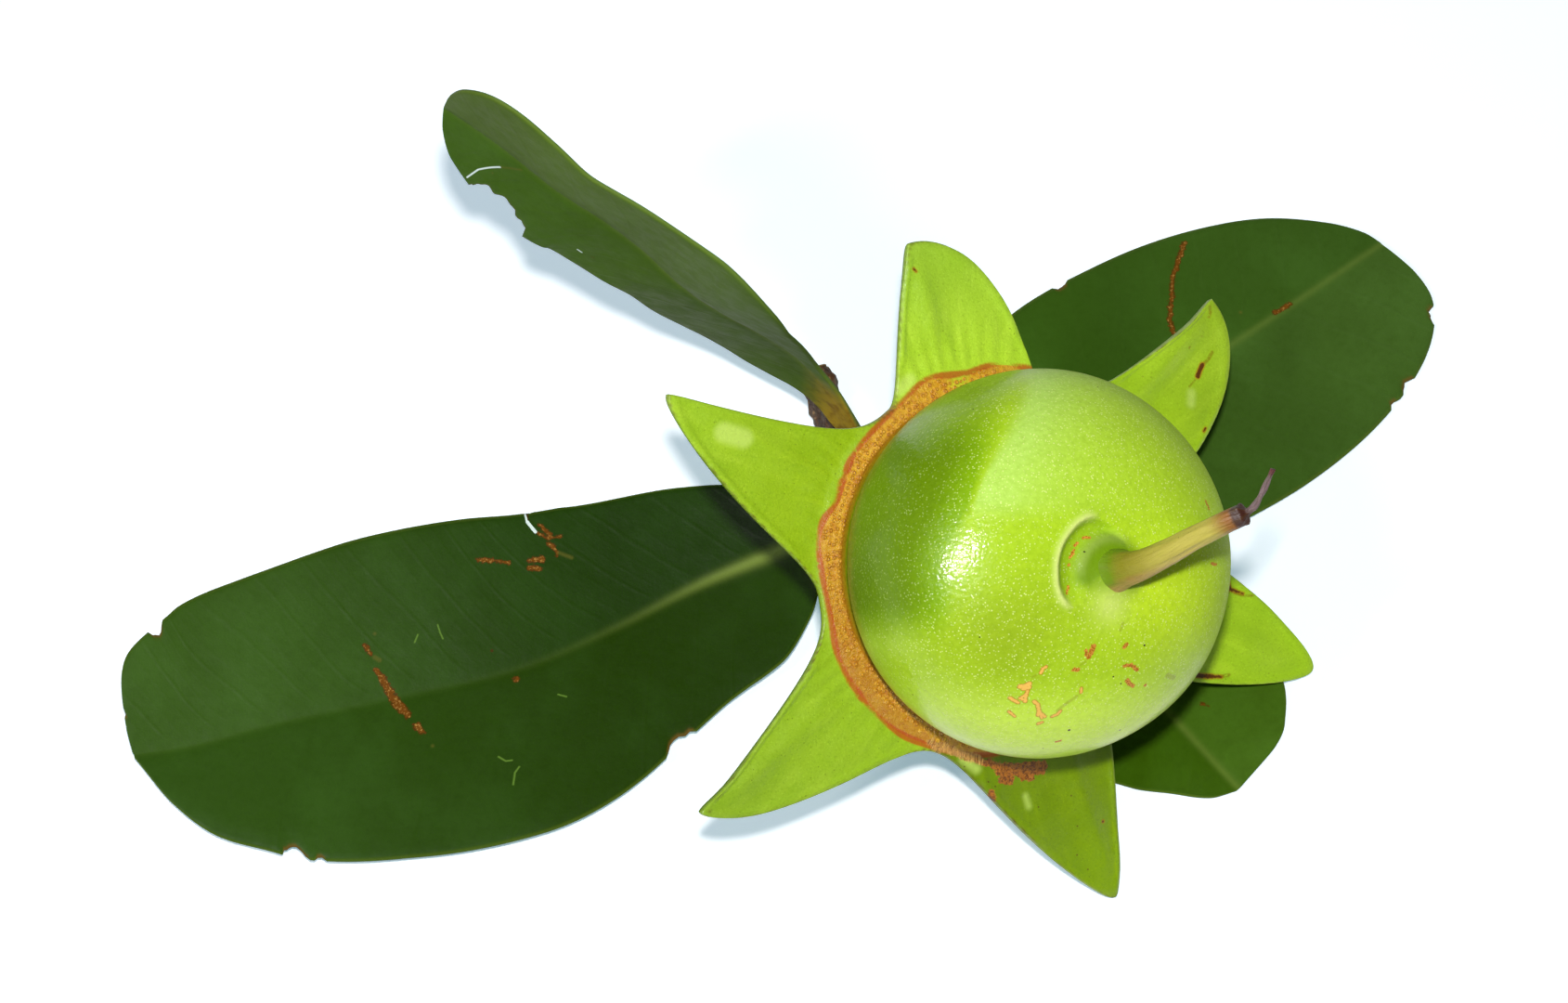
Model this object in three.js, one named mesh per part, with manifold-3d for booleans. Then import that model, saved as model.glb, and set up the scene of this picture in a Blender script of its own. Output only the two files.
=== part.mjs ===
// A mangrove apple as picked: one green fruit on its six-pointed calyx, with the withered style still on top,
// the stub of twig that bore it and the twig's four leaves. It lies on the plane z = 0, in millimetres, +Z up.
import * as THREE from "three";
import { mergeVertices } from "three/addons/utils/BufferGeometryUtils.js";
import Module from "manifold-3d";

const wasm = await Module();
wasm.setup();

// ---- Driving dimensions ----

const GAP = 0.3; // left open between pieces that touch
const WELD = 1e-4; // vertices closer than this are one
const FRAMES = 400; // cross-section frames worked out along a curve

// The fruit's own frame: its origin is the middle of the berry and its +Z runs out along the style.
const FRUIT_MIDDLE = new THREE.Vector3(0, 0, 35.2);
const FRUIT_LEAN = 31.6; // degrees that the fruit leans away from upright
const FRUIT_LEAN_TOWARDS = -36; // degrees, the compass direction of the lean, from +X towards +Y

const BERRY_RADIUS = 23.3;
const BERRY_TOP = 19.6; // height of the crown above the middle, before its hollows
const BERRY_BOTTOM = 19; // depth of the base below the middle
const BERRY_SQUARENESS = 2.2; // 2 is an ellipse, more is fuller at the shoulders
const HOLLOW = { depth: 1.2, radius: 9 }; // the wide hollow round the style
const PIT = { depth: 2.6, radius: 5, lip: 0.35, middle: [-1.1, 0.35] }; // where the style stands

// The style, in the fruit's frame: up out of the pit, then over to one side, ending in a dry thread.
const STYLE_PATH = [[0, 0, 16.4], [0, 0.2, 19], [0, 1, 24.2], [0.9, 2.6, 28.7], [2.1, 4.5, 32.7],
  [3.5, 6.2, 36.3], [5.2, 7.8, 39.3], [5.7, 9.4, 40.4], [6.1, 12.2, 42.1]];
const STYLE_RADII = [[0, 2.9], [0.04, 2.5], [0.14, 2.1], [0.4, 1.5], [0.72, 1.25],
  [0.79, 1.1], [0.83, 0.8], [0.87, 0.42], [1, 0.3]];

// The calyx: a shallow cup, a scar ring round the berry and six flat lobes in one plane.
const RING_HEIGHT = -12.3; // the lobes' upper side, in the fruit's frame
const RING_FOOT = 22.3; // outer radius of the scar ring
const RING_RISE = 0.8; // height of the scar ring above the lobes
const LOBE_THICK = 2.8; // at the ring
const LOBE_EDGE = 0.9; // at the lobes' edges
const TIP_BLUNTNESS = 0.03;
const CUP_FIT = 1.018; // the cup's inside is the berry's outside grown by this

// One row for each lobe, anticlockwise seen from the style. tip and notch are [radius, degrees], and the notch is
// the one after the tip. before and after are [fullness, sharpness] of the lobe's two edges: a fullness over 1
// bulges near the tip, and more sharpness draws the edge in towards a narrow point. lift raises the tip.
const LOBES = [
  { tip: [49.4, -17.7], notch: [24, 13], before: [1.3, 2.2], after: [1.15, 1.9], lift: 0 },
  { tip: [45.2, 44.3], notch: [23.5, 74], before: [1.8, 1.5], after: [0.75, 4], lift: 0 },
  { tip: [40, 105.6], notch: [22.8, 126.6], before: [1.8, 1.4], after: [1, 1.75], lift: 0 },
  { tip: [47.4, 154.7], notch: [23.3, 189.8], before: [0.75, 2.6], after: [1.05, 1.95], lift: 0 },
  { tip: [48.5, 218], notch: [24.5, 252.9], before: [0.78, 2.9], after: [1.15, 2.2], lift: 0 },
  { tip: [47, 294], notch: [24, 319], before: [1, 1.9], after: [1, 2.2], lift: -1.85 },
];

// The stem under the calyx: the pedicel first, then the twig that lies down on the surface.
const STEM_TOP = -22.6 - GAP; // where the pedicel meets the cup, in the fruit's frame
const STEM_PATH = [[-13.4, 9.7, 8.1], [-18.3, 15.8, 5.2], [-22, 22.8, 3], [-24.1, 29.4, 1.95],
  [-26.3, 36.9, 1.85]];
const PEDICEL_SHARE = 0.24; // of the stem's length
const PEDICEL_RADII = [[0, 3.6], [0.25, 2.9], [0.7, 2.7], [1, 3]];
const TWIG_RADII = [[0, 3.1], [0.1, 3.4], [0.2, 2.8], [0.4, 2.2], [0.52, 2.4], [0.6, 2.5], [0.7, 1.9],
  [0.84, 2.1], [0.94, 2.2], [1, 1.7]];
const TWIG_RIDGES = { count: 5, depth: 0.22 };

// The leaves. path runs from inside the twig to the apex. left and right give the half width against the distance
// along the path. face is the side that looks up, at the foot and at the apex. sweep slants each half forward near
// the apex. fold lifts both halves by so much a millimetre, and bites are [along, across, radius].
const LEAF_THICK = 0.6;
const PETIOLE = 1.4; // half width
const LEAVES = {
  leaf_lower_left: {
    path: [[-19.5, 17.2, 5.2], [-24.7, 14.7, 4.9], [-30.4, 11.7, 3.6], [-41.8, 7.1, 1.8], [-52, 1.9, 0.95],
      [-63.9, -3.4, 0.65], [-82.9, -8, 0.6], [-97.3, -11.4, 0.9], [-105.3, -13.8, 1.3], [-113.1, -15.2, 1.8]],
    left: [[0, PETIOLE], [5, PETIOLE], [9, 4.5], [13, 10], [18, 14.1], [30, 16.4], [45, 20.9], [52, 22.1],
      [66, 21.7], [81, 18.8], [90, 14.2], [96, 7], [99, 2.1], [100, 0.4]],
    right: [[0, PETIOLE], [5, PETIOLE], [9, 5], [14, 9.6], [21, 12.5], [36, 17.4], [48, 20.6], [63, 21.4],
      [78, 19.4], [87, 17.4], [93, 14.2], [96, 10.6], [99, 3.5], [100, 0.4]],
    face: [[0, 0, 1], [0, 0, 1]],
    sweep: [0, 0.45],
    fold: 0.1,
    bites: [[35.2, 19.6, 2.6], [83.4, 18.6, 2], [39.8, -18.8, 1.4], [39.2, -16.6, 1.2]],
  },
  leaf_upper_left: {
    path: [[-21.9, 23.4, 4.4], [-20.9, 24.6, 9], [-21.8, 25.5, 12.2], [-24.5, 28.4, 17], [-28.3, 30.7, 22.6],
      [-33.2, 31.6, 30], [-38.5, 32.2, 37], [-43, 33.2, 43], [-47.3, 35.5, 48], [-51.6, 37.5, 52],
      [-57.3, 40.3, 55], [-63.8, 44.5, 58], [-71.8, 49.8, 59.4]],
    left: [[0, PETIOLE], [4, PETIOLE], [8, 3.2], [12, 4.5], [15, 6.3], [18, 9.1], [21, 11], [28, 12.5],
      [36, 12.8], [44, 11.8], [56, 14.3], [68, 14.6], [76, 12.4], [81, 9], [83, 4.6], [83.7, 0.4]],
    right: [[0, PETIOLE], [8, 1.1], [11, 1.5], [16, 2.2], [20, 2.8], [24, 4.1], [32, 8.4], [40, 12.9],
      [48, 17.3], [54, 17.6], [60, 14.8], [66, 12.4], [72, 13.6], [77, 14.2], [81, 9.6], [83, 4.6],
      [83.7, 0.4]],
    face: [[-0.41, -0.89, -0.2], [-0.44, -0.89, 0.12]],
    sweep: [0, 0],
    fold: 0.117,
    bites: [[71.8, 14.6, 5.4]],
  },
  leaf_upper_right: {
    path: [[-18, 16.6, 6.4], [-12.4, 15.8, 6.2], [-5, 18, 5.2], [5, 24, 4], [19, 33.7, 2.9],
      [28.4, 40.1, 2.5], [37.9, 46.7, 2.2], [47.5, 53.7, 1.6], [50.9, 56.1, 1.4]],
    left: [[0, PETIOLE], [8, PETIOLE], [12, 6], [19, 13.4], [26, 18.4], [34, 20.2], [45, 19.5], [54, 17.9],
      [63, 14.8], [69, 11.6], [75, 6.4], [78, 2.6], [79, 0.4]],
    right: [[0, PETIOLE], [8, PETIOLE], [12, 6], [19, 13], [28, 18.6], [40, 20.2], [49, 20.7], [58, 19.8],
      [66, 17.3], [72, 13.9], [76, 9.9], [78, 5.4], [79, 0.4]],
    face: [[0, 0, 1], [0, 0, 1]],
    sweep: [0.1, 0.5],
    fold: -0.08,
    bites: [[69.9, -18.4, 1.5], [79.6, -12.2, 1.5], [82, -2.6, 1.9], [40.5, 20.3, 0.9]],
  },
  leaf_lower_right: {
    path: [[-17.2, 14, 4.8], [-12.4, 10.6, 3.6], [-6, 8.4, 2.2], [2, 5, 1.1], [10.7, -1.2, 0.7],
      [18.8, -9.5, 0.55], [27.3, -19.3, 0.5]],
    left: [[0, PETIOLE], [6, PETIOLE], [11, 5.4], [19, 11], [30, 15], [42, 15.6], [50, 14.1], [54, 10.9],
      [56, 7.4], [57, 0.4]],
    right: [[0, PETIOLE], [6, PETIOLE], [11, 5], [19, 10], [30, 13.6], [41, 13.4], [48, 10.2], [52, 6.8],
      [55.6, 3.4], [57, 0.4]],
    face: [[0, 0, 1], [0, 0, 1]],
    sweep: [0, 0],
    fold: 0,
    bites: [],
  },
};

// ---- Shared tools ----

const vector = ([x, y, z]) => new THREE.Vector3(x, y, z);
const radians = THREE.MathUtils.degToRad;
const { lerp, clamp } = THREE.MathUtils;

// A smooth value at x through a short list of [x, value] knots.
function along(knots, x) {
  const last = knots.length - 1;
  let i = 0;
  while (i < last - 1 && x > knots[i + 1][0]) i += 1;
  const slope = (k) => {
    const [a, b] = [knots[Math.max(k - 1, 0)], knots[Math.min(k + 1, last)]];
    return (b[1] - a[1]) / (b[0] - a[0]);
  };
  const span = knots[i + 1][0] - knots[i][0];
  const t = clamp((x - knots[i][0]) / span, 0, 1);
  const [t2, t3] = [t * t, t * t * t];
  return (2 * t3 - 3 * t2 + 1) * knots[i][1] + (t3 - 2 * t2 + t) * span * slope(i)
    + (3 * t2 - 2 * t3) * knots[i + 1][1] + (t3 - t2) * span * slope(i + 1);
}

// Moves every vertex of a geometry to the point that place gives for it.
function reshape(geometry, place) {
  const position = geometry.attributes.position;
  const point = new THREE.Vector3();
  for (let i = 0; i < position.count; i += 1) {
    point.fromBufferAttribute(position, i);
    position.setXYZ(i, ...place(point, i).toArray());
  }
  return geometry;
}

// Welds a geometry's shared vertices, so that it is one closed skin.
function weld(geometry) {
  geometry.deleteAttribute("normal");
  geometry.deleteAttribute("uv");
  return mergeVertices(geometry, WELD);
}

function toManifold(geometry) {
  const welded = weld(geometry);
  return new wasm.Manifold(new wasm.Mesh({
    numProp: 3,
    vertProperties: Float32Array.from(welded.attributes.position.array),
    triVerts: Uint32Array.from(welded.index.array),
  }));
}

function toGeometry(manifold) {
  const mesh = manifold.getMesh();
  const geometry = new THREE.BufferGeometry();
  geometry.setAttribute("position", new THREE.BufferAttribute(mesh.vertProperties, 3));
  geometry.setIndex(new THREE.BufferAttribute(mesh.triVerts, 1));
  return geometry;
}

function addPiece(group, name, geometry, color, roughness) {
  const skin = weld(geometry);
  skin.computeVertexNormals();
  const material = new THREE.MeshStandardMaterial({ color, roughness, metalness: 0 });
  const mesh = new THREE.Mesh(skin, material);
  mesh.name = name;
  group.add(mesh);
  return mesh;
}

// A round stalk along part of a curve, from one share of its length to another. radii runs from 0 to 1 over the
// stalk, and grow thickens it all round.
function stalk(curve, [from, to], radii, { steps, sides, ridges = { count: 0, depth: 0 }, grow = 0 }) {
  const profile = [new THREE.Vector2(0, 0)];
  for (let i = 0; i <= steps; i += 1) profile.push(new THREE.Vector2(1, i));
  profile.push(new THREE.Vector2(0, steps));
  const frames = curve.computeFrenetFrames(FRAMES);
  return reshape(new THREE.LatheGeometry(profile, sides), (point) => {
    const share = Math.round(point.y) / steps;
    const turn = Math.atan2(point.x, point.z);
    const radius = along(radii, share) + grow + ridges.depth * Math.cos(ridges.count * turn);
    const reach = Math.hypot(point.x, point.z) * radius;
    const place = lerp(from, to, share);
    const frame = Math.round(place * FRAMES);
    return curve.getPointAt(place)
      .addScaledVector(frames.normals[frame], reach * Math.cos(turn))
      .addScaledVector(frames.binormals[frame], reach * Math.sin(turn));
  });
}

// ---- Fruit ----

// The berry's outline from its base to the middle of its crown, as a share t from 0 to 1.
function berryOutline(t) {
  const turn = Math.PI * t;
  const power = 2 / BERRY_SQUARENESS;
  const radius = BERRY_RADIUS * Math.sin(turn) ** power;
  if (t < 0.5) return new THREE.Vector2(radius, -BERRY_BOTTOM * Math.cos(turn) ** power);
  const crown = BERRY_TOP * Math.abs(Math.cos(turn)) ** power;
  const hollow = HOLLOW.depth * Math.exp(-((radius / HOLLOW.radius) ** 2));
  return new THREE.Vector2(radius, crown - hollow);
}

function berryGeometry() {
  const flank = 18;
  const crown = [0.91, 0.921, 0.932, 0.943, 0.954, 0.965, 0.98];
  const stops = Array.from({ length: flank }, (_, i) => (0.9 * i) / (flank - 1)).concat(crown);
  const profile = stops.map(berryOutline);
  profile[0].x = 0;
  profile.push(new THREE.Vector2(0, berryOutline(0.999).y));
  return reshape(new THREE.LatheGeometry(profile, 40).rotateX(Math.PI / 2), (point) => {
    const away = Math.hypot(point.x - PIT.middle[0], point.y - PIT.middle[1]);
    const sunk = point.z > 0 ? PIT.depth / (1 + Math.exp((away - PIT.radius) / PIT.lip)) : 0;
    return point.setZ(point.z - sunk);
  });
}

function styleGeometry() {
  const curve = new THREE.CatmullRomCurve3(STYLE_PATH.map(vector));
  return stalk(curve, [0, 1], STYLE_RADII, { steps: 24, sides: 12 });
}

// The calyx's outline as a list of { radius, angle, lift, reach }, with more points near the lobes' tips.
function calyxRim(steps) {
  const rim = [];
  const rounded = (u) => Math.hypot(u, TIP_BLUNTNESS) - TIP_BLUNTNESS;
  LOBES.forEach((lobe, i) => {
    const previous = LOBES[(i + LOBES.length - 1) % LOBES.length].notch;
    const start = i === 0 ? [previous[0], previous[1] - 360] : previous;
    const edge = (notch, [fullness, sharpness], u) => ({
      radius: notch[0] + (lobe.tip[0] - notch[0]) * (1 - (rounded(u) / rounded(1)) ** fullness) ** sharpness,
      angle: lerp(lobe.tip[1], notch[1], u),
      lift: lobe.lift,
      reach: lobe.tip[0],
    });
    for (let k = steps; k > 0; k -= 1) rim.push(edge(start, lobe.before, (k / steps) ** 1.5));
    for (let k = 0; k < steps; k += 1) rim.push(edge(lobe.notch, lobe.after, (k / steps) ** 1.5));
  });
  return rim;
}

function calyxGeometry() {
  const rim = calyxRim(8);
  const cupRows = 5;
  const bed = [];
  for (let i = 0; i <= cupRows; i += 1) {
    const point = berryOutline((0.283 * i) / cupRows).multiplyScalar(CUP_FIT);
    bed.push([i === 0 ? 0 : point.x, point.y]);
  }
  const ring = [[20.7, RING_HEIGHT + RING_RISE], [RING_FOOT, RING_HEIGHT]];
  const upper = [0.35, 0.7, 1].map((share) => ({ share, drop: 0 }));
  const lower = [1, 0.6, 0.2].map((share) => ({ share, drop: lerp(LOBE_THICK, LOBE_EDGE, share ** 0.8) }));
  const cup = [[20.8, -15.4], [17.4, -18], [12.4, -20.6], [7, -22], [3.6, -22.6], [0, -22.6]];
  const rows = [...bed, ...ring, ...upper, ...lower, ...cup].reverse();
  const lathe = new THREE.LatheGeometry(rows.map((_, j) => new THREE.Vector2(1, j)), rim.length);
  return reshape(lathe, (_, index) => {
    const { radius, angle, lift, reach } = rim[Math.floor(index / rows.length) % rim.length];
    const row = rows[index % rows.length];
    const turn = radians(angle);
    const at = (out, height) => new THREE.Vector3(out * Math.cos(turn), out * Math.sin(turn), height);
    if (Array.isArray(row)) return at(...row);
    const out = lerp(RING_FOOT, radius, row.share);
    const rise = lift * ((out - RING_FOOT) / (reach - RING_FOOT)) ** 2;
    return at(out, RING_HEIGHT - row.drop + rise);
  });
}

// ---- Stem ----

function stemCurve(fruit) {
  const top = fruit.localToWorld(new THREE.Vector3(0, 0, STEM_TOP));
  return new THREE.CatmullRomCurve3([top, ...STEM_PATH.map(vector)]);
}

function pedicelGeometry(stem, grow) {
  return stalk(stem, [0, PEDICEL_SHARE], PEDICEL_RADII, { steps: 6, sides: 14, grow });
}

function twigGeometry(stem, grow) {
  const start = PEDICEL_SHARE + GAP / stem.getLength();
  return stalk(stem, [start, 1], TWIG_RADII, { steps: 26, sides: 18, ridges: TWIG_RIDGES, grow });
}

// The twig's underside is worn flat where it lies on the surface.
function restingTwig(stem) {
  const ground = new THREE.BoxGeometry(80, 80, 20).translate(-20, 25, -10);
  return toGeometry(toManifold(twigGeometry(stem, 0)).subtract(toManifold(ground)));
}

// ---- Leaves ----

// Gives the frame of a leaf at a distance along its path, and past the apex in a straight line.
function leafFrame(leaf, curve, length, distance) {
  const share = clamp(distance / length, 0, 1);
  const tangent = curve.getTangentAt(share);
  const face = vector(leaf.face[0]).lerp(vector(leaf.face[1]), share);
  const across = new THREE.Vector3().crossVectors(face, tangent).normalize();
  const up = new THREE.Vector3().crossVectors(tangent, across);
  const origin = curve.getPointAt(share).addScaledVector(tangent, distance - share * length);
  return { origin, across, up };
}

function leafGeometry(leaf) {
  const curve = new THREE.CatmullRomCurve3(leaf.path.map(vector));
  const length = curve.getLength();
  const end = leaf.left[leaf.left.length - 1][0];
  const ribAbove = [[0, 0.7], [14, 0.15], [length, 0]];
  const ribBelow = [[0, 0.9], [14, 0.55], [length * 0.6, 0.2], [length, 0]];
  return reshape(new THREE.BoxGeometry(1, 1, 1, 34, 6, 1), (point) => {
    const station = end * (0.5 - 0.5 * Math.cos(Math.PI * (point.x + 0.5)));
    const [side, slant] = point.y > 0 ? [leaf.left, leaf.sweep[0]] : [leaf.right, leaf.sweep[1]];
    const offset = 2 * point.y * along(side, station);
    const distance = station + Math.abs(offset) * slant * (station / length) ** 3;
    const { origin, across, up } = leafFrame(leaf, curve, length, distance);
    const rib = Math.exp(-((offset / 1.2) ** 2));
    const above = LEAF_THICK / 2 + rib * along(ribAbove, station);
    const below = LEAF_THICK / 2 + rib * along(ribBelow, station);
    const height = Math.abs(offset) * leaf.fold + (point.z > 0 ? above : -below);
    return origin.addScaledVector(across, offset).addScaledVector(up, height);
  });
}

// A leaf with its bites taken out and its foot cut to sit against the twig.
function fittedLeaf(leaf, keepClear) {
  const curve = new THREE.CatmullRomCurve3(leaf.path.map(vector));
  const length = curve.getLength();
  let blade = toManifold(leafGeometry(leaf)).subtract(keepClear);
  leaf.bites.forEach(([distance, offset, radius]) => {
    const { origin, across, up } = leafFrame(leaf, curve, length, distance);
    const bite = new THREE.CylinderGeometry(radius, radius, 24, 10).rotateX(Math.PI / 2);
    const turn = new THREE.Matrix4().makeBasis(new THREE.Vector3().crossVectors(across, up), across, up);
    bite.applyMatrix4(turn).translate(...origin.addScaledVector(across, offset).toArray());
    blade = blade.subtract(toManifold(bite));
  });
  return toGeometry(blade);
}

// ---- Assembly ----

const sprig = new THREE.Group();

const fruit = new THREE.Group();
const lean = new THREE.Euler(0, radians(FRUIT_LEAN), radians(FRUIT_LEAN_TOWARDS), "ZYX");
const axis = new THREE.Vector3(0, 0, 1).applyEuler(lean);
const eastward = new THREE.Vector3(1, 0, 0).projectOnPlane(axis).normalize();
const northward = new THREE.Vector3().crossVectors(axis, eastward);
fruit.quaternion.setFromRotationMatrix(new THREE.Matrix4().makeBasis(eastward, northward, axis));
fruit.position.copy(FRUIT_MIDDLE);
fruit.updateMatrixWorld();
addPiece(fruit, "berry", berryGeometry(), 0x9dcc3a, 0.32);
addPiece(fruit, "style", styleGeometry(), 0x9c8f35, 0.55);
addPiece(fruit, "calyx", calyxGeometry(), 0x95bf35, 0.45);
sprig.add(fruit);

const stem = stemCurve(fruit);
addPiece(sprig, "pedicel", pedicelGeometry(stem, 0), 0x7d9a36, 0.5);
addPiece(sprig, "twig", restingTwig(stem), 0x6e4a2c, 0.85);

const keepClear = toManifold(twigGeometry(stem, GAP)).add(toManifold(pedicelGeometry(stem, GAP)));
for (const [name, leaf] of Object.entries(LEAVES)) {
  addPiece(sprig, name, fittedLeaf(leaf, keepClear), 0x33501a, 0.45);
}

// The part's origin is under the middle of its bounding box, on the surface that it lies on.
const box = new THREE.Box3().setFromObject(sprig, true);
const middle = box.getCenter(new THREE.Vector3());
sprig.position.set(-middle.x, -middle.y, -box.min.z);

export default sprig;
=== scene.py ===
"""A mangrove apple as picked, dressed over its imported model: one green fruit on its six-pointed calyx,
with its withered style, a stub of twig and four leaves, lying on white paper."""

from math import cos, pi, radians, sin

import bmesh
import bpy
import numpy as np
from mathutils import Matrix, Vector


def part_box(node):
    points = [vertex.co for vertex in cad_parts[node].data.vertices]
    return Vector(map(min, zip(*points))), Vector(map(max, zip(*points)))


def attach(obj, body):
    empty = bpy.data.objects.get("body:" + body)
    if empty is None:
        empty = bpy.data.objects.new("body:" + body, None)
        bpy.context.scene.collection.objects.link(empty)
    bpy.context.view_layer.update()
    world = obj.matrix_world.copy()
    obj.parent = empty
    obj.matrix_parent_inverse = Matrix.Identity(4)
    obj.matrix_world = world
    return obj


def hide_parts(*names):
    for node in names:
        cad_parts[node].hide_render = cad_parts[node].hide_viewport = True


bl_info = {
    "name": "Mangrove Apple",
    "version": (1, 0, 0),
    "blender": (4, 5, 0),
    "location": "View3D > Sidebar > Mangrove Apple",
    "description": "Dresses one mangrove apple with its calyx, style, twig and leaves",
    "category": "Add Mesh",
}

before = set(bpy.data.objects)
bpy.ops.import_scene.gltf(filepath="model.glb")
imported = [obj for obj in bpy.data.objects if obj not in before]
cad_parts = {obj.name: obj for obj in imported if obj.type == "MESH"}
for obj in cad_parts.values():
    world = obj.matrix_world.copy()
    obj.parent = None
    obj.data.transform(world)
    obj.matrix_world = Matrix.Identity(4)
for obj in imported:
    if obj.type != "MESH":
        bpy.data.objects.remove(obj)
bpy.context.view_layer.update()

# ---- Driving sizes, in millimetres, as in the part's source ----

MM = 0.001
FRUIT_MIDDLE = np.array([0, 0, 35.2])
FRUIT_LEAN = radians(31.6)
FRUIT_LEAN_TOWARDS = radians(-36)

BERRY_RADIUS = 23.3
BERRY_TOP = 19.6
BERRY_BOTTOM = 19
BERRY_SQUARENESS = 2.2
HOLLOW_DEPTH = 1.2
HOLLOW_RADIUS = 9

STYLE_PATH = [(0, 0, 16.4), (0, 0.2, 19), (0, 1, 24.2), (0.9, 2.6, 28.7), (2.1, 4.5, 32.7),
              (3.5, 6.2, 36.3), (5.2, 7.8, 39.3), (5.7, 9.4, 40.4), (6.1, 12.2, 42.1)]
STYLE_RADII = [(0, 3.6), (0.04, 3.05), (0.08, 2.55), (0.14, 2.1), (0.26, 1.75), (0.4, 1.5), (0.6, 1.32),
               (0.72, 1.25), (0.775, 1.22), (0.79, 1.12), (0.8, 0.6), (0.81, 0.42), (0.9, 0.34), (1, 0.28)]

RING_HEIGHT = -12.3
RING_FOOT = 22.3
RING_RISE = 0.8
RING_EDGE = 24.0
LOBE_THICK = 2.8
LOBE_EDGE = 0.9
TIP_BLUNTNESS = 0.03
CUP_FIT = 1.018
CUP = [(20.8, -15.4), (17.4, -18), (12.4, -20.6), (7, -22), (3.6, -22.6), (0, -22.6)]

# The tip and the notch after it as (radius, degrees), (fullness, sharpness) of the edges before and after the
# tip, how far the tip is lifted, and how far it hooks sideways.
LOBES = [
    dict(tip=(49.4, -17.7), notch=(24, 13), before=(1.3, 2.2), after=(1.15, 1.9), lift=0, hook=0),
    dict(tip=(45.2, 44.3), notch=(23.5, 74), before=(1.8, 1.5), after=(0.75, 4), lift=0, hook=0.9),
    dict(tip=(40, 105.6), notch=(22.8, 126.6), before=(1.8, 1.4), after=(1, 1.75), lift=0, hook=0.3),
    dict(tip=(47.4, 154.7), notch=(23.3, 189.8), before=(0.75, 2.6), after=(1.05, 1.95), lift=0, hook=0),
    dict(tip=(48.5, 218), notch=(24.5, 252.9), before=(0.78, 2.9), after=(1.15, 2.2), lift=0, hook=-0.9),
    dict(tip=(47, 294), notch=(24, 319), before=(1, 1.9), after=(1, 2.2), lift=-1.85, hook=0),
]

STEM_TOP = -22.9
STEM_PATH = [(-13.4, 9.7, 8.1), (-18.3, 15.8, 5.2), (-22, 22.8, 3), (-24.1, 29.4, 1.95), (-26.3, 36.9, 1.85)]
PEDICEL_SHARE = 0.24
TWIG_GAP = 0.3
PEDICEL_RADII = [(0, 3.6), (0.25, 2.9), (0.7, 2.7), (1, 3)]
TWIG_RADII = [(0, 3.1), (0.1, 3.4), (0.2, 2.8), (0.4, 2.2), (0.52, 2.4), (0.6, 2.5), (0.7, 1.9),
              (0.84, 2.1), (0.94, 2.2), (1, 1.7)]

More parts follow.
